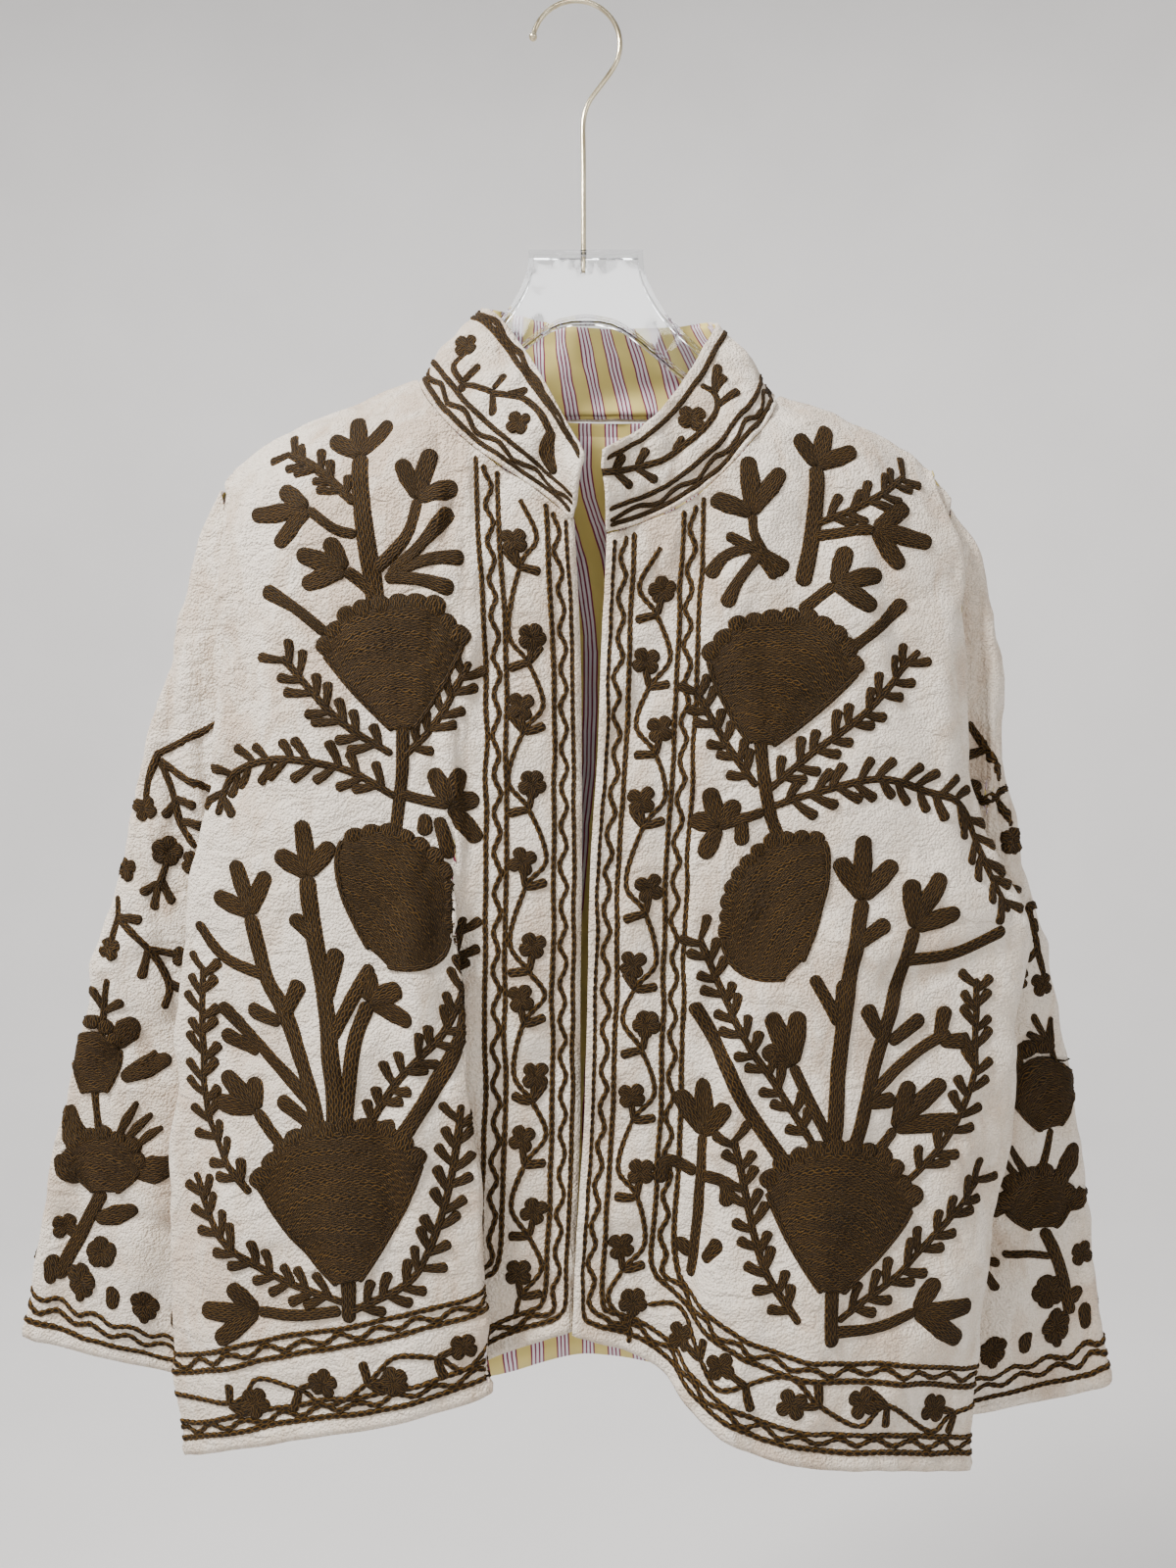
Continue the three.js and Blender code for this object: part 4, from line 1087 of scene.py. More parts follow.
# flowers and clubs by turns above the cuff, with their heights
cuffRow = {"spacing": 22.5, "flowerAt": 43, "flower": 21, "petal": 9.8, "stem": (30, 38), "stemWidth": 6,
           "club": (33, 48), "clubWidth": [7, 9.5]}
# lines of chain along a band, each with its height and its wave
cuffLines = {
    "rows": [(9, 0), (17, 2.2), (24, 2.2)], "waveLength": 25, "spots": 40, "unevenness": 0.3, "width": 3.3,
}
collarLines = {
    "rows": [(4, 0), (9.5, 2.0), (16.5, 0), (54.5, 0), (58, 0.9)], "waveLength": 30, "spots": 44,
    "unevenness": 0.25, "width": 3.7,
}


def drawLines(sketch, lines, first, last):
    spots = np.linspace(first, last, lines["spots"])
    for height, wave in lines["rows"]:
        path = wobble([(a, height) for a in spots], lines["unevenness"])
        if wave:
            path = waved(path, wave, lines["waveLength"])
        stroke(sketch, path, lines["width"], lift=borderLines["lift"])


def drawSprays(sketch, plant, shift=(0, 0)):
    move = lambda points: [(a + shift[0], d + shift[1]) for a, d in points]
    for width, points in plant["stems"]:
        stroke(sketch, move(points), width)
    for width, points in plant["leaves"]:
        shape = [width * 0.6, width] if len(points) == 2 else [width * 0.55, width, width * 0.5]
        stroke(sketch, move(points), shape)
    for size, petals, spot in plant["flowers"]:
        flower(sketch, move([spot])[0], size, petals, rng.uniform(20, 70), size * 0.47)
    for foot, lobes, footWidth, cap, bow, rim in plant["fans"]:
        fan(sketch, move([foot])[0], move(rim), lobes, footWidth, cap, bow)


# vines are placed backwards along the hem, or by their height
def hemwise(hem):
    return lambda backward, height: (-backward, hem(-backward) + height)


def upright(z, a):
    return a, z


def stitchFront(name, plant, columnFlowers, hemFlowers):
    cloth = cloths[name]
    sketch = newSketch(cloth, clothLocator(cloth, cloth["hem"], cloth["top"]), cloth["chart"])
    reach = edgeReach(cloth, cloth["hem"])
    hem = edgeLine(reach, cloth["hem"])
    top = edgeLine(edgeReach(cloth, cloth["top"]), cloth["top"])
    cornerBorder(sketch, hem, top, reach[-1] - 2)
    vine(sketch, columnFlowers, upright, (columnFlowers[0][0] + 26, 34), (columnFlowers[-1][0] - 26, 36))
    places = [(-a, z - hem(a)) for a, z in clothPoints(sketch, hemFlowers)]
    vine(sketch, places, hemwise(hem), (places[0][0] + 22, 34), (6 - reach[-1], 36))
    drawPlant(sketch, plant)
    return [sketch]


def stitchBack():
    cloth = cloths["back"]
    sketch = newSketch(cloth, clothLocator(cloth, cloth["hem"], cloth["top"]), coarse=1.6)
    reach = edgeReach(cloth, cloth["hem"])
    hem = edgeLine(reach, cloth["hem"])
    width = reach[-1]
    for group in ("outer", "inner"):
        spots = np.linspace(4, width - 4, 30)
        tripleLine(sketch, [[(a, hem(a) + height) for a in spots] for _, height in borderLines[group]])
    swing = lambda k: 4 if k % 2 else -4
    places = [(-a, 36 + swing(k)) for k, a in enumerate(np.arange(40, width - 20, 46))]
    vine(sketch, places, hemwise(hem), (-8, 34), (6 - width, 36))
    middle = backChart(cloth, 1, 0)(0, 600)[0]
    places = [(z, middle + swing(k)) for k, z in enumerate(range(-330, -830, -48))]
    vine(sketch, places, upright, (-300, middle), (-835, middle))
    for side, plant in ((-1, plantRight), (1, plantLeft)):
        sketch["chart"] = backChart(cloth, side)
        drawPlant(sketch, plant)
    return [sketch]


def stitchSleeve(name, side, plant, phase):
    cloth = cloths[name]
    cuff = newSketch(cloth, clothLocator(cloth, cloth["hem"], cloth["top"]))
    around = cloth["reach"][0]
    drawLines(cuff, cuffLines, around[0], around[-1])
    for k, a in enumerate(np.arange(around[0] + phase, around[-1] - 6, cuffRow["spacing"])):
        if k % 2:
            low, high = cuffRow["club"]
            stroke(cuff, [(a, low), (a + rng.uniform(-1, 1), high)], cuffRow["clubWidth"])
        else:
            low, high = cuffRow["stem"]
            flower(cuff, (a, cuffRow["flowerAt"]), cuffRow["flower"], 5, 90, cuffRow["petal"])
            stroke(cuff, [(a, low), (a, high)], cuffRow["stemWidth"])
    halves = []
    for first, last in ((foldColumn, 2 * foldColumn + 1), (0, foldColumn + 1)):
        half = newSketch(cloth, viewLocator(cloth, side, first, last))
        drawSprays(half, plant)
        halves.append(half)
    return [cuff, *halves]


def stitchCollar():
    cloth = cloths["collar"]
    length = cloth["reach"][0, -1]
    band = newSketch(cloth, clothLocator(cloth, cloth["hem"], cloth["top"], 0.5))
    drawLines(band, collarLines, 2, length - 2)
    drawSprays(band, collarBack, (cloth["reach"][0, collarThird], 0))
    front = newSketch(cloth, viewLocator(cloth, -1, 0, collarThird + 1))
    drawSprays(front, collarRight)
    other = newSketch(cloth, viewLocator(cloth, 1, 2 * collarThird, 3 * collarThird + 1))
    drawSprays(other, collarLeft)
    return [band, front, other]


sketches = {
    "front_right": stitchFront(
        "front_right", plantRight,
        [(-360, 38), (-419, 30), (-462, 38), (-510, 31), (-558, 37), (-610, 30), (-643, 37), (-692, 28),
         (-731, 36), (-776, 27), (-814, 35)],
        [(75, 850), (116, 868), (160, 871), (203, 887)],
    ),
    "front_left": stitchFront(
        "front_left", plantLeft,
        [(-390, 36), (-434, 28), (-476, 38), (-520, 29), (-574, 37), (-621, 28), (-658, 37), (-702, 29),
         (-749, 37), (-796, 28), (-831, 37)],
        [(57, 848), (79, 859), (121, 879), (164, 880), (212, 892)],
    ),
    "back": stitchBack(),
    "sleeve_right": stitchSleeve("sleeve_right", -1, plantSleeveRight, 13),
    "sleeve_left": stitchSleeve("sleeve_left", 1, plantSleeveLeft, 20),
    "collar": stitchCollar(),
}


# the stitching pulls the velvet in, and the cloth between it lies unevenly
quilting = {"pull": 2.2, "spread": 6, "unevenness": 1.0, "patches": 40, "ripple": 0.3, "ripples": 5}


def blurred(field, passes):
    for _ in range(passes):
        padded = np.pad(field, 1, mode="edge")
        field = (padded[:-2, 1:-1] + padded[2:, 1:-1] + 2 * padded[1:-1, 1:-1]) / 4
        padded = np.pad(field, 1, mode="edge")
        field = (padded[1:-1, :-2] + padded[1:-1, 2:] + 2 * padded[1:-1, 1:-1]) / 4
    return field


def quilt(panel, sketched):
    shape = panel["reach"].shape
    places = np.concatenate([spots for sketch in sketched for spots in sketch["places"]])
    cells = np.round(places[:, :2]).astype(int)
    mask = np.zeros(shape)
    mask[np.clip(cells[:, 0], 0, shape[0] - 1), np.clip(cells[:, 1], 0, shape[1] - 1)] = 1
    noise = blurred(rng.normal(0, 1, shape), quilting["patches"])
    ripple = blurred(rng.normal(0, 1, shape), quilting["ripples"])
    relief = noise / noise.std() * quilting["unevenness"] + ripple / ripple.std() * quilting["ripple"]
    relief = relief - blurred(mask, quilting["spread"]) * quilting["pull"]
    if panel["ring"]:
        share = np.clip(np.minimum(np.arange(shape[1]), np.arange(shape[1])[::-1]) / 8, 0, 1)
        seam = (relief[:, :1] + relief[:, -1:]) / 2
        relief = seam + (relief - seam) * share
    push(panel, relief)


for name, sketched in sketches.items():
    quilt(cloths[name], sketched)
print("embroidery charted")


# inputs are given as values or as the outputs of other nodes
def setInputs(tree, node, inputs):
    for name, value in inputs.items():
        socket = node.inputs[name]
        if isinstance(value, bpy.types.NodeSocket):
            tree.links.new(value, socket)
        else:
            socket.default_value = (*value, 1) if socket.type == "RGBA" else value


def addNode(tree, kind, inputs, **settings):
    node = tree.nodes.new("ShaderNode" + kind)
    for name, value in settings.items():
        setattr(node, name, value)
    setInputs(tree, node, inputs)
    return node


def mathNode(tree, operation, *values, clamp=False):
    return addNode(tree, "Math", dict(enumerate(values)), operation=operation, use_clamp=clamp).outputs[0]


def rampNode(tree, factor, stops, interpolation="LINEAR"):
    node = addNode(tree, "ValToRGB", {"Fac": factor})
    ramp = node.color_ramp
    ramp.interpolation = interpolation
    while len(ramp.elements) < len(stops):
        ramp.elements.new(0.5)
    for element, (position, colour) in zip(ramp.elements, stops):
        element.position = position
        element.color = (*colour, 1)
    return node.outputs["Color"]


def mixNode(tree, factor, first, second, blend="MIX"):
    mix = addNode(tree, "Mix", {0: factor, 6: first, 7: second}, data_type="RGBA", blend_type=blend)
    return mix.outputs[2]


def noiseNode(tree, vector, scale, detail, stretch=None, distortion=0.0):
    if stretch:
        vector = addNode(tree, "Mapping", {"Vector": vector, "Scale": stretch}).outputs["Vector"]
    inputs = {"Vector": vector, "Scale": scale, "Detail": detail, "Distortion": distortion}
    return addNode(tree, "TexNoise", inputs).outputs["Fac"]


def bumpNode(tree, height, strength, distance):
    inputs = {"Height": height, "Strength": strength, "Distance": distance}
    return addNode(tree, "Bump", inputs).outputs["Normal"]


def newGroup(name, inputs, outputs):
    tree = bpy.data.node_groups.new(name, "ShaderNodeTree")
    for way, sockets in (("INPUT", inputs), ("OUTPUT", outputs)):
        for label, kind in sockets.items():
            tree.interface.new_socket(name=label, in_out=way, socket_type="NodeSocket" + kind)
    return tree, tree.nodes.new("NodeGroupInput").outputs, tree.nodes.new("NodeGroupOutput")


def placeGroup(tree, group, inputs):
    node = tree.nodes.new("ShaderNodeGroup")
    node.node_tree = group
    setInputs(tree, node, inputs)
    return node.outputs


def newMaterial(name):
    material = bpy.data.materials.new(name)
    material.use_nodes = True
    tree = material.node_tree
    return material, tree, tree.nodes["Principled BSDF"], addNode(tree, "TexCoord", {}).outputs


# yarn or pile that catches the light in fine flecks: a mask of painted glints and a height
def fibreGroup():
    tree, start, end = newGroup("fibreGlintAndRelief", {"Vector": "Vector", "Scale": "Float"},
                                {"GlintMask": "Float", "Height": "Float"})
    size = {"Vector": start["Vector"], "Scale": start["Scale"]}
    fine = addNode(tree, "TexNoise", {**size, "Detail": 3.0, "Roughness": 0.65}).outputs["Fac"]
    cells = addNode(tree, "TexVoronoi", size).outputs["Distance"]
    setInputs(tree, end, {
        "GlintMask": mathNode(tree, "MULTIPLY_ADD", fine, 2.4, -0.7, clamp=True),
        "Height": mathNode(tree, "SUBTRACT", fine, cells),
    })
    return tree


# rows of chain stitch from a map that counts links along and rows across
def chainGroup():
    tree, start, end = newGroup("chainStitch", {"Along": "Float", "Across": "Float"},
                                {"Strand": "Float", "Eye": "Float", "Row": "Float"})
    do = lambda operation, *values, **more: mathNode(tree, operation, *values, **more)
    across = start["Across"]
    row = addNode(tree, "TexWhiteNoise", {"W": do("FLOOR", across)}, noise_dimensions="1D").outputs["Value"]
    shift = do("MULTIPLY", row, do("GREATER_THAN", across, 1.001))  # each row of a fill starts elsewhere
    swing = do("SINE", do("MULTIPLY", do("FRACT", do("ADD", start["Along"], shift)), math.pi))
    offset = do("ABSOLUTE", do("MULTIPLY_ADD", do("FRACT", across), 2.0, -1.0))
    opening = do("MULTIPLY", do("POWER", swing, 0.6), 0.6)
    gap = do("ABSOLUTE", do("SUBTRACT", offset, opening))
    middle = do("SUBTRACT", 1.0, do("MULTIPLY", offset, 2.0), clamp=True)
    setInputs(tree, end, {
        "Strand": do("SUBTRACT", 1.0, do("MULTIPLY", gap, 2.6), clamp=True),
        "Eye": do("MULTIPLY", middle, do("POWER", swing, 3.0), clamp=True),
        "Row": row,
    })
    return tree


fibre = fibreGroup()
chainStitch = chainGroup()

# peach, cream and light colour the velvet's crushed mottle: partly the pile's own random tone, partly painted
# sheen and painted shade, peach the most shaded
velvetLook = {
    "light": (0.83, 0.73, 0.61), "cream": (0.75, 0.635, 0.505), "peachShade": (0.62, 0.48, 0.355),
    # fleck is the pale colour of painted glints on the pile
    "pileGlint": (0.93, 0.90, 0.86), "pileScale": 620, "roughness": 0.5, "sheen": 0.35, "sheenRoughness": 0.35,
    "sheenTint": (0.95, 0.89, 0.82), "specular": 0.25, "relief": 0.0016,
}
# dark is painted shade, for the grooves between the strands and the eye of each link
yarnLook = {
    # gold is the colour of painted highlights on the strands
    "recessShade": (0.006, 0.003, 0.001), "brown": (0.060, 0.026, 0.004), "threadGlint": (0.26, 0.135, 0.024),
    "fleckScale": 800, "roughness": 0.72, "sheen": 0.06, "sheenTint": (0.75, 0.55, 0.32), "specular": 0.16,
    "relief": 0.0014,
}
cottonLook = {
    "band": 17.6, "yellow": (0.68, 0.55, 0.17), "white": (0.76, 0.72, 0.76), "crimson": (0.20, 0.012, 0.06),
    "lines": [(0.48, 0.54), (0.63, 0.69), (0.78, 0.84), (0.93, 0.99)], "threadsPerMetre": 1900,
    "roughness": 0.85, "sheen": 0.15, "relief": 0.0003,
}
acrylicLook = {"tint": (0.90, 0.915, 0.93), "ior": 1.46, "relief": 0.003}
wireLook = {"worn": (0.55, 0.46, 0.30), "bright": (0.74, 0.66, 0.48)}


def velvetMaterial():
    look = velvetLook
    material, tree, shader, place = newMaterial("creamVelvet")
    broad = noiseNode(tree, place["Object"], 11, 3, (1, 1, 0.55), 0.8)
    brushed = noiseNode(tree, place["Object"], 52, 4, (1, 1, 0.45), 1.0)
    ripple = noiseNode(tree, place["Object"], 30, 3, (1, 1, 1.9), 1.6)
    pile = placeGroup(tree, fibre, {"Vector": place["Object"], "Scale": look["pileScale"]})
    nap = mathNode(tree, "ADD", *(mathNode(tree, "MULTIPLY", part, 0.5) for part in (broad, brushed)))
    # the nap mottle paints sheen and shade into the colour, along with the pile's random tone
    toneAndPaintedSheen = rampNode(tree, nap, [(0.39, look["peachShade"]), (0.48, look["cream"]), (0.56, look["light"])])
    height = mathNode(tree, "MULTIPLY_ADD", brushed, 1.6, pile["Height"])
    height = mathNode(tree, "MULTIPLY_ADD", ripple, 4.0, height)
    setInputs(tree, shader, {
        # pale flecks of painted glint on the pile
        "Base Color": mixNode(tree, mathNode(tree, "MULTIPLY", pile["GlintMask"], 0.16), toneAndPaintedSheen, look["pileGlint"]),
        "Roughness": mathNode(tree, "MULTIPLY_ADD", brushed, 0.25, look["roughness"]),
        "Sheen Weight": look["sheen"], "Sheen Roughness": look["sheenRoughness"],
        "Sheen Tint": look["sheenTint"],
        "Specular IOR Level": look["specular"], "Normal": bumpNode(tree, height, 0.9, look["relief"]),
    })
    return material


def yarnMaterial():
    look = yarnLook
    material, tree, shader, place = newMaterial("brownWoolChain")
    do = lambda operation, *values, **more: mathNode(tree, operation, *values, **more)
    parts = addNode(tree, "SeparateXYZ", {0: place["UV"]}).outputs
    stitch = placeGroup(tree, chainStitch, {"Along": parts["X"], "Across": parts["Y"]})
    glintsAndFibre = placeGroup(tree, fibre, {"Vector": place["Object"], "Scale": look["fleckScale"]})
    tone = do("MULTIPLY_ADD", noiseNode(tree, place["Object"], 34, 2), 1.5, -0.15)
    shade = do("MULTIPLY_ADD", stitch["Row"], 0.3, tone, clamp=True)
    # painted light and shade: the strands are coloured lit, the grooves between them dark
    lit = do("MULTIPLY", do("MULTIPLY_ADD", stitch["Strand"], 1.1, 0.0), shade, clamp=True)
    # painted highlight: gold glints on the strands where the fibre flecks are
    glints = do("MULTIPLY", stitch["Strand"], do("MULTIPLY", glintsAndFibre["GlintMask"], 0.7), clamp=True)
    warm = mixNode(tree, glints, mixNode(tree, lit, look["recessShade"], look["brown"]), look["threadGlint"])
    height = do("ADD", stitch["Strand"], do("MULTIPLY", glintsAndFibre["Height"], 0.15))
    setInputs(tree, shader, {
        # the eye of each link is painted dark as shade
        "Base Color": mixNode(tree, do("MULTIPLY", stitch["Eye"], 0.85), warm, look["recessShade"]),
        "Roughness": look["roughness"], "Sheen Weight": look["sheen"], "Sheen Roughness": 0.5,
        "Sheen Tint": look["sheenTint"], "Specular IOR Level": look["specular"],
        "Normal": bumpNode(tree, height, 1.0, look["relief"]),
    })
    return material


# yellow and white bands with four fine crimson lines on the white, woven
def cottonMaterial():
    look = cottonLook
    material, tree, shader, place = newMaterial("stripedCotton")
    parts = addNode(tree, "SeparateXYZ", {0: place["UV"]}).outputs
    share = mathNode(tree, "FRACT", mathNode(tree, "MULTIPLY", parts["X"], 1000 / look["band"]))
    stops = [(0, look["yellow"])]
    for start, end in look["lines"]:
        stops += [(start, look["crimson"]), (end, look["white"])]
    stops[-1] = (stops[-1][0], look["yellow"])
    threads = []
    for axis in ("X", "Y"):
        turn = mathNode(tree, "MULTIPLY", parts[axis], 2 * math.pi * look["threadsPerMetre"])
        threads.append(mathNode(tree, "ABSOLUTE", mathNode(tree, "SINE", turn)))
    wear = noiseNode(tree, place["Object"], 40, 3)
    tone = rampNode(tree, wear, [(0.3, (0.86, 0.86, 0.87)), (0.7, (1.0, 1.0, 1.0))])
    height = mathNode(tree, "MULTIPLY_ADD", wear, 3.0, mathNode(tree, "MAXIMUM", *threads))
    setInputs(tree, shader, {
        "Base Color": mixNode(tree, 1.0, rampNode(tree, share, stops, "CONSTANT"), tone, "MULTIPLY"),
        "Roughness": look["roughness"], "Sheen Weight": look["sheen"],
        "Normal": bumpNode(tree, height, 0.35, look["relief"]),
    })
    return material


def acrylicMaterial():
    material, tree, shader, place = newMaterial("clearAcrylic")
    smear = noiseNode(tree, place["Object"], 18, 3, (1, 1, 0.5), 0.5)
    setInputs(tree, shader, {
        "Base Color": acrylicLook["tint"], "Transmission Weight": 1.0, "IOR": acrylicLook["ior"],
        "Roughness": mathNode(tree, "MULTIPLY_ADD", smear, 0.05, 0.0, clamp=True),
        "Normal": bumpNode(tree, smear, 0.4, acrylicLook["relief"]),
    })
    return material


def wireMaterial():
    material, tree, shader, place = newMaterial("paleBrassWire")
    wear = noiseNode(tree, place["Object"], 130, 4, (1, 1, 0.3))
    setInputs(tree, shader, {
        "Base Color": rampNode(tree, wear, [(0.35, wireLook["worn"]), (0.65, wireLook["bright"])]),
        "Metallic": 1.0, "Roughness": mathNode(tree, "MULTIPLY_ADD", wear, 0.25, 0.1),
    })
    return material


velvet, yarn, cotton = velvetMaterial(), yarnMaterial(), cottonMaterial()
acrylic, wire = acrylicMaterial(), wireMaterial()
print("materials made")


def gridFaces(rows, columns, ring=False):
    i, j = np.meshgrid(np.arange(rows - 1), np.arange(columns if ring else columns - 1), indexing="ij")
    right = (j + 1) % columns
    low, high = i * columns, (i + 1) * columns
    return np.stack([low + j, low + right, high + right, high + j], axis=2).reshape(-1, 4)


def writeMap(piece, uvs):
    layer = piece.data.uv_layers.new(name="cloth")
    corners = np.empty(len(piece.data.loops), int)
    piece.data.loops.foreach_get("vertex_index", corners)
    layer.data.foreach_set("uv", uvs[corners].ravel())


def heightsAt(panel, row, column):
    return sample(np.broadcast_to(panel["rows"][:, None], panel["reach"].shape), row, column)


# a closed sheet on a panel's form: its outer side is lifted from the panel, its inner side is lined
def clothPiece(name, panel, row, column, materials, thickness, lift, ring=False):
    points = sample(panel["points"], row, column)
    normals = sample(panel["normals"], row, column)
    reach, heights = sample(panel["reach"], row, column), heightsAt(panel, row, column)
    vertices = (points + normals * np.broadcast_to(lift, row.shape)[..., None]).reshape(-1, 3) * mm
    faces = gridFaces(*row.shape, ring)
    if panel["sign"] * (-1 if materials[0] is cotton else 1) < 0:
        faces = faces[:, ::-1]
    piece = newMesh(name, vertices, faces.tolist(), *materials)
    writeMap(piece, np.stack([reach.ravel(), heights.ravel()], axis=1) * mm)
    wall = piece.modifiers.new("wall", "SOLIDIFY")
    wall.thickness = thickness * mm
    wall.offset = -1
    wall.material_offset = 1 if len(materials) > 1 else 0
    wall.use_even_offset = False
    applyModifiers(piece)
    shadeSmooth(piece.data)
    return piece


# the turned hem and front edge are a little fuller than the cloth
hemRoll = {"height": 1.1, "middle": 3.6, "width": 2.6}


def rollAt(distance):
    return hemRoll["height"] * np.exp(-((distance - hemRoll["middle"]) / hemRoll["width"]) ** 2)


tightFold = {"reach": 84, "width": 22, "closeness": 1.6}  # on the right front, from its edge


# columns drawn together where the cloth turns in a tight fold
def closerAtFold(columns, panel):
    reach = sample(panel["reach"], np.full(len(columns), len(panel["rows"]) // 2), columns)
    weight = 1 + tightFold["closeness"] * np.exp(-((reach - tightFold["reach"]) / tightFold["width"]) ** 2)
    steps = np.concatenate([[0], np.cumsum(1 / ((weight[1:] + weight[:-1]) / 2))])
    return steps / steps[-1] * columns[-1]


gridSize = {"front_right": (100, 180), "front_left": (100, 180), "back": (115, 145)}  # columns and rows


def edgesAt(panel, columns):
    return (np.interp(columns, np.arange(len(panel["hem"])), panel[key]) for key in ("hem", "top"))


def bodyPiece(name):
    panel = cloths[name]
    across, up = gridSize[name]
    columns = np.linspace(0, len(panel["hem"]) - 1, across)
    if name == "front_right":
        columns = closerAtFold(columns, panel)
    share = 1 - (1 - np.linspace(0, 1, up)) ** 1.15
    low, high = edgesAt(panel, columns)
    z = low[None] + (high - low)[None] * share[:, None]
    row = rowAt(panel["rows"], z)
    column = np.broadcast_to(columns, row.shape)
    roll = rollAt(z - low)
    if name != "back":
        roll = np.maximum(roll, rollAt(sample(panel["reach"], row, column)))
    return clothPiece(name + "_velvet", panel, row, column, [velvet, cotton], jacket["visibleWall"],
                      jacket["wall"] / 2 + roll)


def liningPiece():
    panel = cloths["back"]
    columns = np.linspace(0.12, 0.88, 80) * (len(panel["hem"]) - 1)
    low, high = edgesAt(panel, columns)
    z = low[None] + 1 + (high - 11 - low)[None] * np.linspace(0, 1, 60)[:, None]
    row = rowAt(panel["rows"], z)
    return clothPiece("back_lining_cotton", panel, row, np.broadcast_to(columns, row.shape), [cotton], 1.0,
                      -jacket["liningInset"] - 0.5)


def sleevePiece(name):
    panel = cloths[name]
    rows = (1 - np.linspace(0, 1, 150) ** 1.2) * (len(panel["rows"]) - 1)
    columns = np.linspace(0, panel["points"].shape[1] - 1, 81)[:-1]
    row, column = np.meshgrid(rows[::-1], columns, indexing="ij")
    roll = rollAt(heightsAt(panel, row, column))
    return clothPiece(name + "_velvet", panel, row, column, [velvet, cotton], jacket["visibleWall"],
                      jacket["wall"] / 2 + roll, ring=True)


def collarPiece():
    panel = cloths["collar"]
    rows, columns = panel["reach"].shape
    row, column = np.meshgrid(np.linspace(0, rows - 1, 24), np.linspace(0, columns - 1, 200), indexing="ij")
    return clothPiece("collar_velvet", panel, row, column, [velvet, cotton], 2.2, 1.1)


def collarLiningPiece():
    panel = cloths["collar"]
    rows, columns = panel["reach"].shape
    row, column = np.meshgrid(np.linspace(0.04, 0.97, 20) * (rows - 1),
                              np.linspace(0.77, 2.28, 110) / 3 * (columns - 1), indexing="ij")
    return clothPiece("collar_lining_cotton", panel, row, column, [cotton], 1.0,
                      -jacket["collarLiningInset"] - 0.5)


piping = {"radius": 1.5, "lift": 0.9, "row": 0.2, "steps": 220, "sides": 10}


# a round cord of velvet along the collar's foot, over the seam
def pipingPiece():
    panel = cloths["collar"]
    steps, sides = piping["steps"], piping["sides"]
    columns = np.linspace(0.5, panel["reach"].shape[1] - 1.5, steps)
    row = np.full_like(columns, piping["row"])
    out = sample(panel["normals"], row, columns)
    middle = sample(panel["points"], row, columns) + out * piping["lift"]
    up = np.cross(unit(np.gradient(middle, axis=0)), out)
    fromEnd = np.minimum(np.arange(steps), np.arange(steps)[::-1])
    radius = piping["radius"] * np.minimum(1, 0.25 + fromEnd / 4)
    rings = []
    for angle in np.arange(sides) * 2 * math.pi / sides:
        rings.append(middle + (out * math.cos(angle) + up * math.sin(angle)) * radius[:, None])
    vertices = np.stack(rings, axis=1).reshape(-1, 3) * mm
    faces = gridFaces(steps, sides, ring=True)[:, ::-1].tolist()
    faces += [list(range(sides)), list(range((steps - 1) * sides, steps * sides))[::-1]]
    piece = newMesh("collar_piping", vertices, faces, velvet)
    onlySelected(piece)
    editAll(bpy.ops.mesh.normals_make_consistent, inside=False)
    return piece


def embroideryPiece(name, sketched):
    panel = cloths[name]
    places = np.concatenate([spots for sketch in sketched for spots in sketch["places"]])
    row, column = places[:, 0], places[:, 1]
    lift = jacket["wall"] / 2 + places[:, 2:3]
    vertices = (sample(panel["points"], row, column) + sample(panel["normals"], row, column) * lift) * mm
    faces, first = [], 0
    for sketch in sketched:
        faces += [[corner + first for corner in face] for face in sketch["faces"]]
        first += sketch["count"]
    piece = newMesh(name + "_embroidery", vertices, faces, yarn)
    writeMap(piece, np.concatenate([uvs for sketch in sketched for uvs in sketch["uvs"]]))
    return piece


pieces = {
    "front_right": bodyPiece("front_right"), "front_left": bodyPiece("front_left"),
    "back": bodyPiece("back"), "back_lining": liningPiece(),
    "sleeve_right": sleevePiece("sleeve_right"), "sleeve_left": sleevePiece("sleeve_left"),
    "collar": collarPiece(), "collar_lining": collarLiningPiece(),
}
stitching = {name: embroideryPiece(name, sketched) for name, sketched in sketches.items()}
pipingCord = pipingPiece()
print("cloth made:", {name: len(piece.data.polygons) for name, piece in pieces.items()})
print("stitches:", {name: len(piece.data.polygons) for name, piece in stitching.items()})

# each cut hangs from the root, which carries it, and its CAD node is hidden
for name, piece in pieces.items():
    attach(piece, "root")
    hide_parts(name)
    own = [stitching[name]] if name in stitching else []
    if name == "collar":
        own.append(pipingCord)
for piece in stitching.values():
    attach(piece, "root")
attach(pipingCord, "root")


# a finished copy of a hard CAD node, its corners merged
def finishedCopy(name, material):
    copy = bpy.data.objects[name].copy()
    copy.data = bpy.data.objects[name].data.copy()
    copy.name = name + "_finished"
    bpy.context.scene.collection.objects.link(copy)
    copy.data.materials.clear()
    copy.data.materials.append(material)
    onlySelected(copy)
    editAll(bpy.ops.mesh.remove_doubles, threshold=0.00001)
    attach(copy, "root")
    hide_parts(name)
    return copy


hangerEdge = {"width": 0.0008, "segments": 3}
hanger = finishedCopy("hanger", acrylic)
edges = hanger.modifiers.new("edges", "BEVEL")
edges.width, edges.segments, edges.limit_method = hangerEdge["width"], hangerEdge["segments"], "ANGLE"
applyModifiers(hanger)
hook = finishedCopy("hanger_hook", wire)
rounder = hook.modifiers.new("rounder", "SUBSURF")
rounder.levels = rounder.render_levels = 1
applyModifiers(hook)
shadeSmooth(hook.data)


cove = {"floor": -1.45, "flat": 2.2, "bend": 1.2, "top": 2.6, "sides": 64}  # in metres
coveLook = {"shade": (0.74, 0.725, 0.715), "pale": (0.78, 0.765, 0.755), "roughness": 0.9}


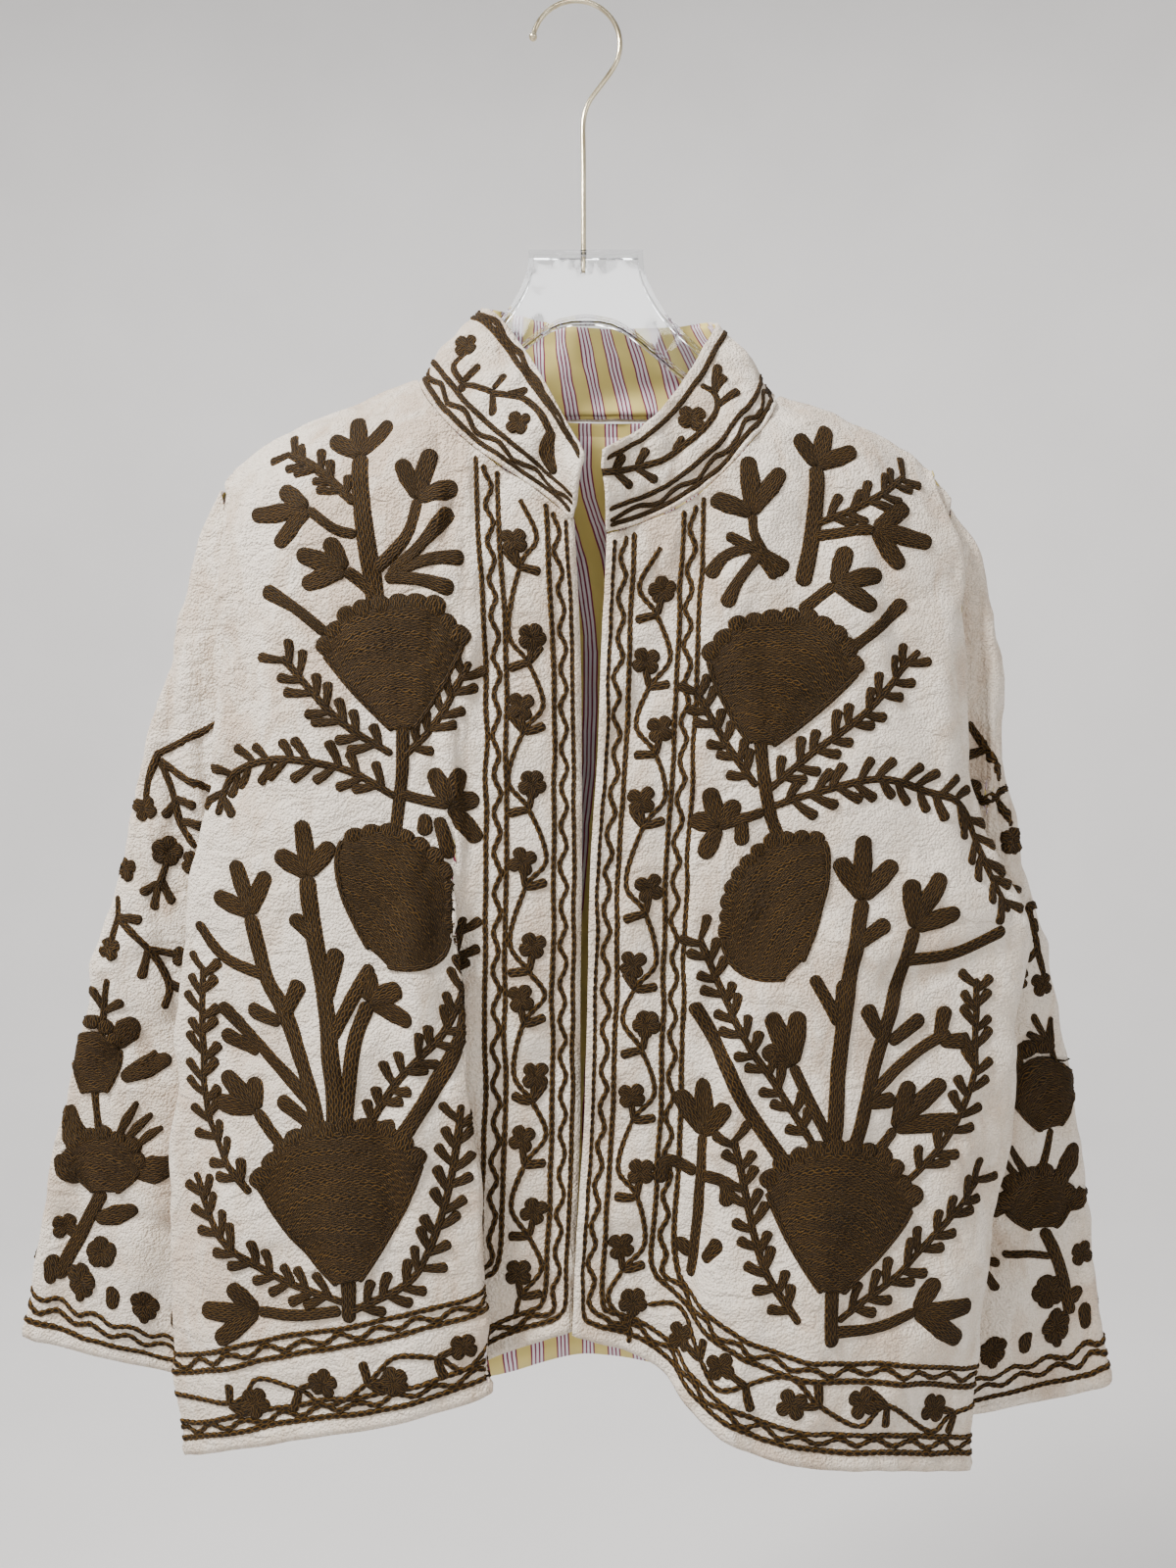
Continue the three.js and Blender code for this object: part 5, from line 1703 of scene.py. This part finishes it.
# a round room whose floor bends up into its wall
def makeStage():
    flat, bend, floor = cove["flat"], cove["bend"], cove["floor"]
    profile = [(0, floor), (flat, floor)]
    for angle in np.radians(range(10, 91, 10)):
        profile.append((flat + bend * math.sin(angle), floor + bend - bend * math.cos(angle)))
    profile.append((flat + bend, cove["top"]))
    turns = [k * 2 * math.pi / cove["sides"] for k in range(cove["sides"])]
    vertices = [(r * math.cos(turn), r * math.sin(turn), z) for r, z in profile for turn in turns]
    material, tree, shader, place = newMaterial("palePaint")
    stops = [(0.3, coveLook["shade"]), (0.7, coveLook["pale"])]
    tone = rampNode(tree, noiseNode(tree, place["Object"], 2.5, 3), stops)
    setInputs(tree, shader, {"Base Color": tone, "Roughness": coveLook["roughness"]})
    faces = gridFaces(len(profile), cove["sides"], ring=True)
    newMesh("pale_cove", vertices, faces.tolist(), material)


def addLight(name, place, aim, size, power, colour):
    light = bpy.data.lights.new(name, "AREA")
    light.shape, light.size, light.size_y = "RECTANGLE", *size
    light.energy, light.color = power, colour
    lamp = bpy.data.objects.new(name, light)
    lamp.location = place
    lamp.rotation_euler = (Vector(aim) - Vector(place)).to_track_quat("-Z", "Y").to_euler()
    bpy.context.scene.collection.objects.link(lamp)


makeStage()
lights = [
    # name, place, aim, width and height, power, colour
    ("key", (-1.1, -0.8, 0.8), (0, 0, -0.55), (0.4, 0.4), 76, (1.0, 0.985, 0.96)),
    ("fill", (1.5, -1.3, 0.1), (0, 0, -0.6), (1.0, 1.0), 8, (0.97, 0.98, 1.0)),
    ("front", (0.02, -2.0, -0.2), (0, 0, -0.6), (0.8, 0.5), 5, (1.0, 0.99, 0.98)),
    ("strip", (0.05, -1.9, 0.55), (0, 0, -0.2), (0.7, 0.12), 4, (1.0, 1.0, 1.0)),
    ("back", (0, 0.9, 1.3), (0, 3.4, -0.5), (1.8, 0.8), 52, (1.0, 1.0, 1.0)),
    ("glow", (0, 0.4, 2.3), (0, 0.2, -0.5), (2.0, 2.0), 12, (1.0, 1.0, 1.0)),
]
for light in lights:
    addLight(*light)
world = bpy.data.worlds.new("softWorld")
world.use_nodes = True
sky = {"Color": (0.94, 0.95, 0.97), "Strength": 0.4}
setInputs(world.node_tree, world.node_tree.nodes["Background"], sky)
bpy.context.scene.world = world

cameraData = bpy.data.cameras.new("view")
cameraData.lens, cameraData.sensor_width = 28.125, 36
cameraData.clip_start = 0.02
camera = bpy.data.objects.new("view", cameraData)
camera.location = (0.0077, -0.8, -0.510)
camera.rotation_euler = (math.radians(90), 0, 0)
bpy.context.scene.collection.objects.link(camera)
bpy.context.scene.camera = camera
print("stage set")
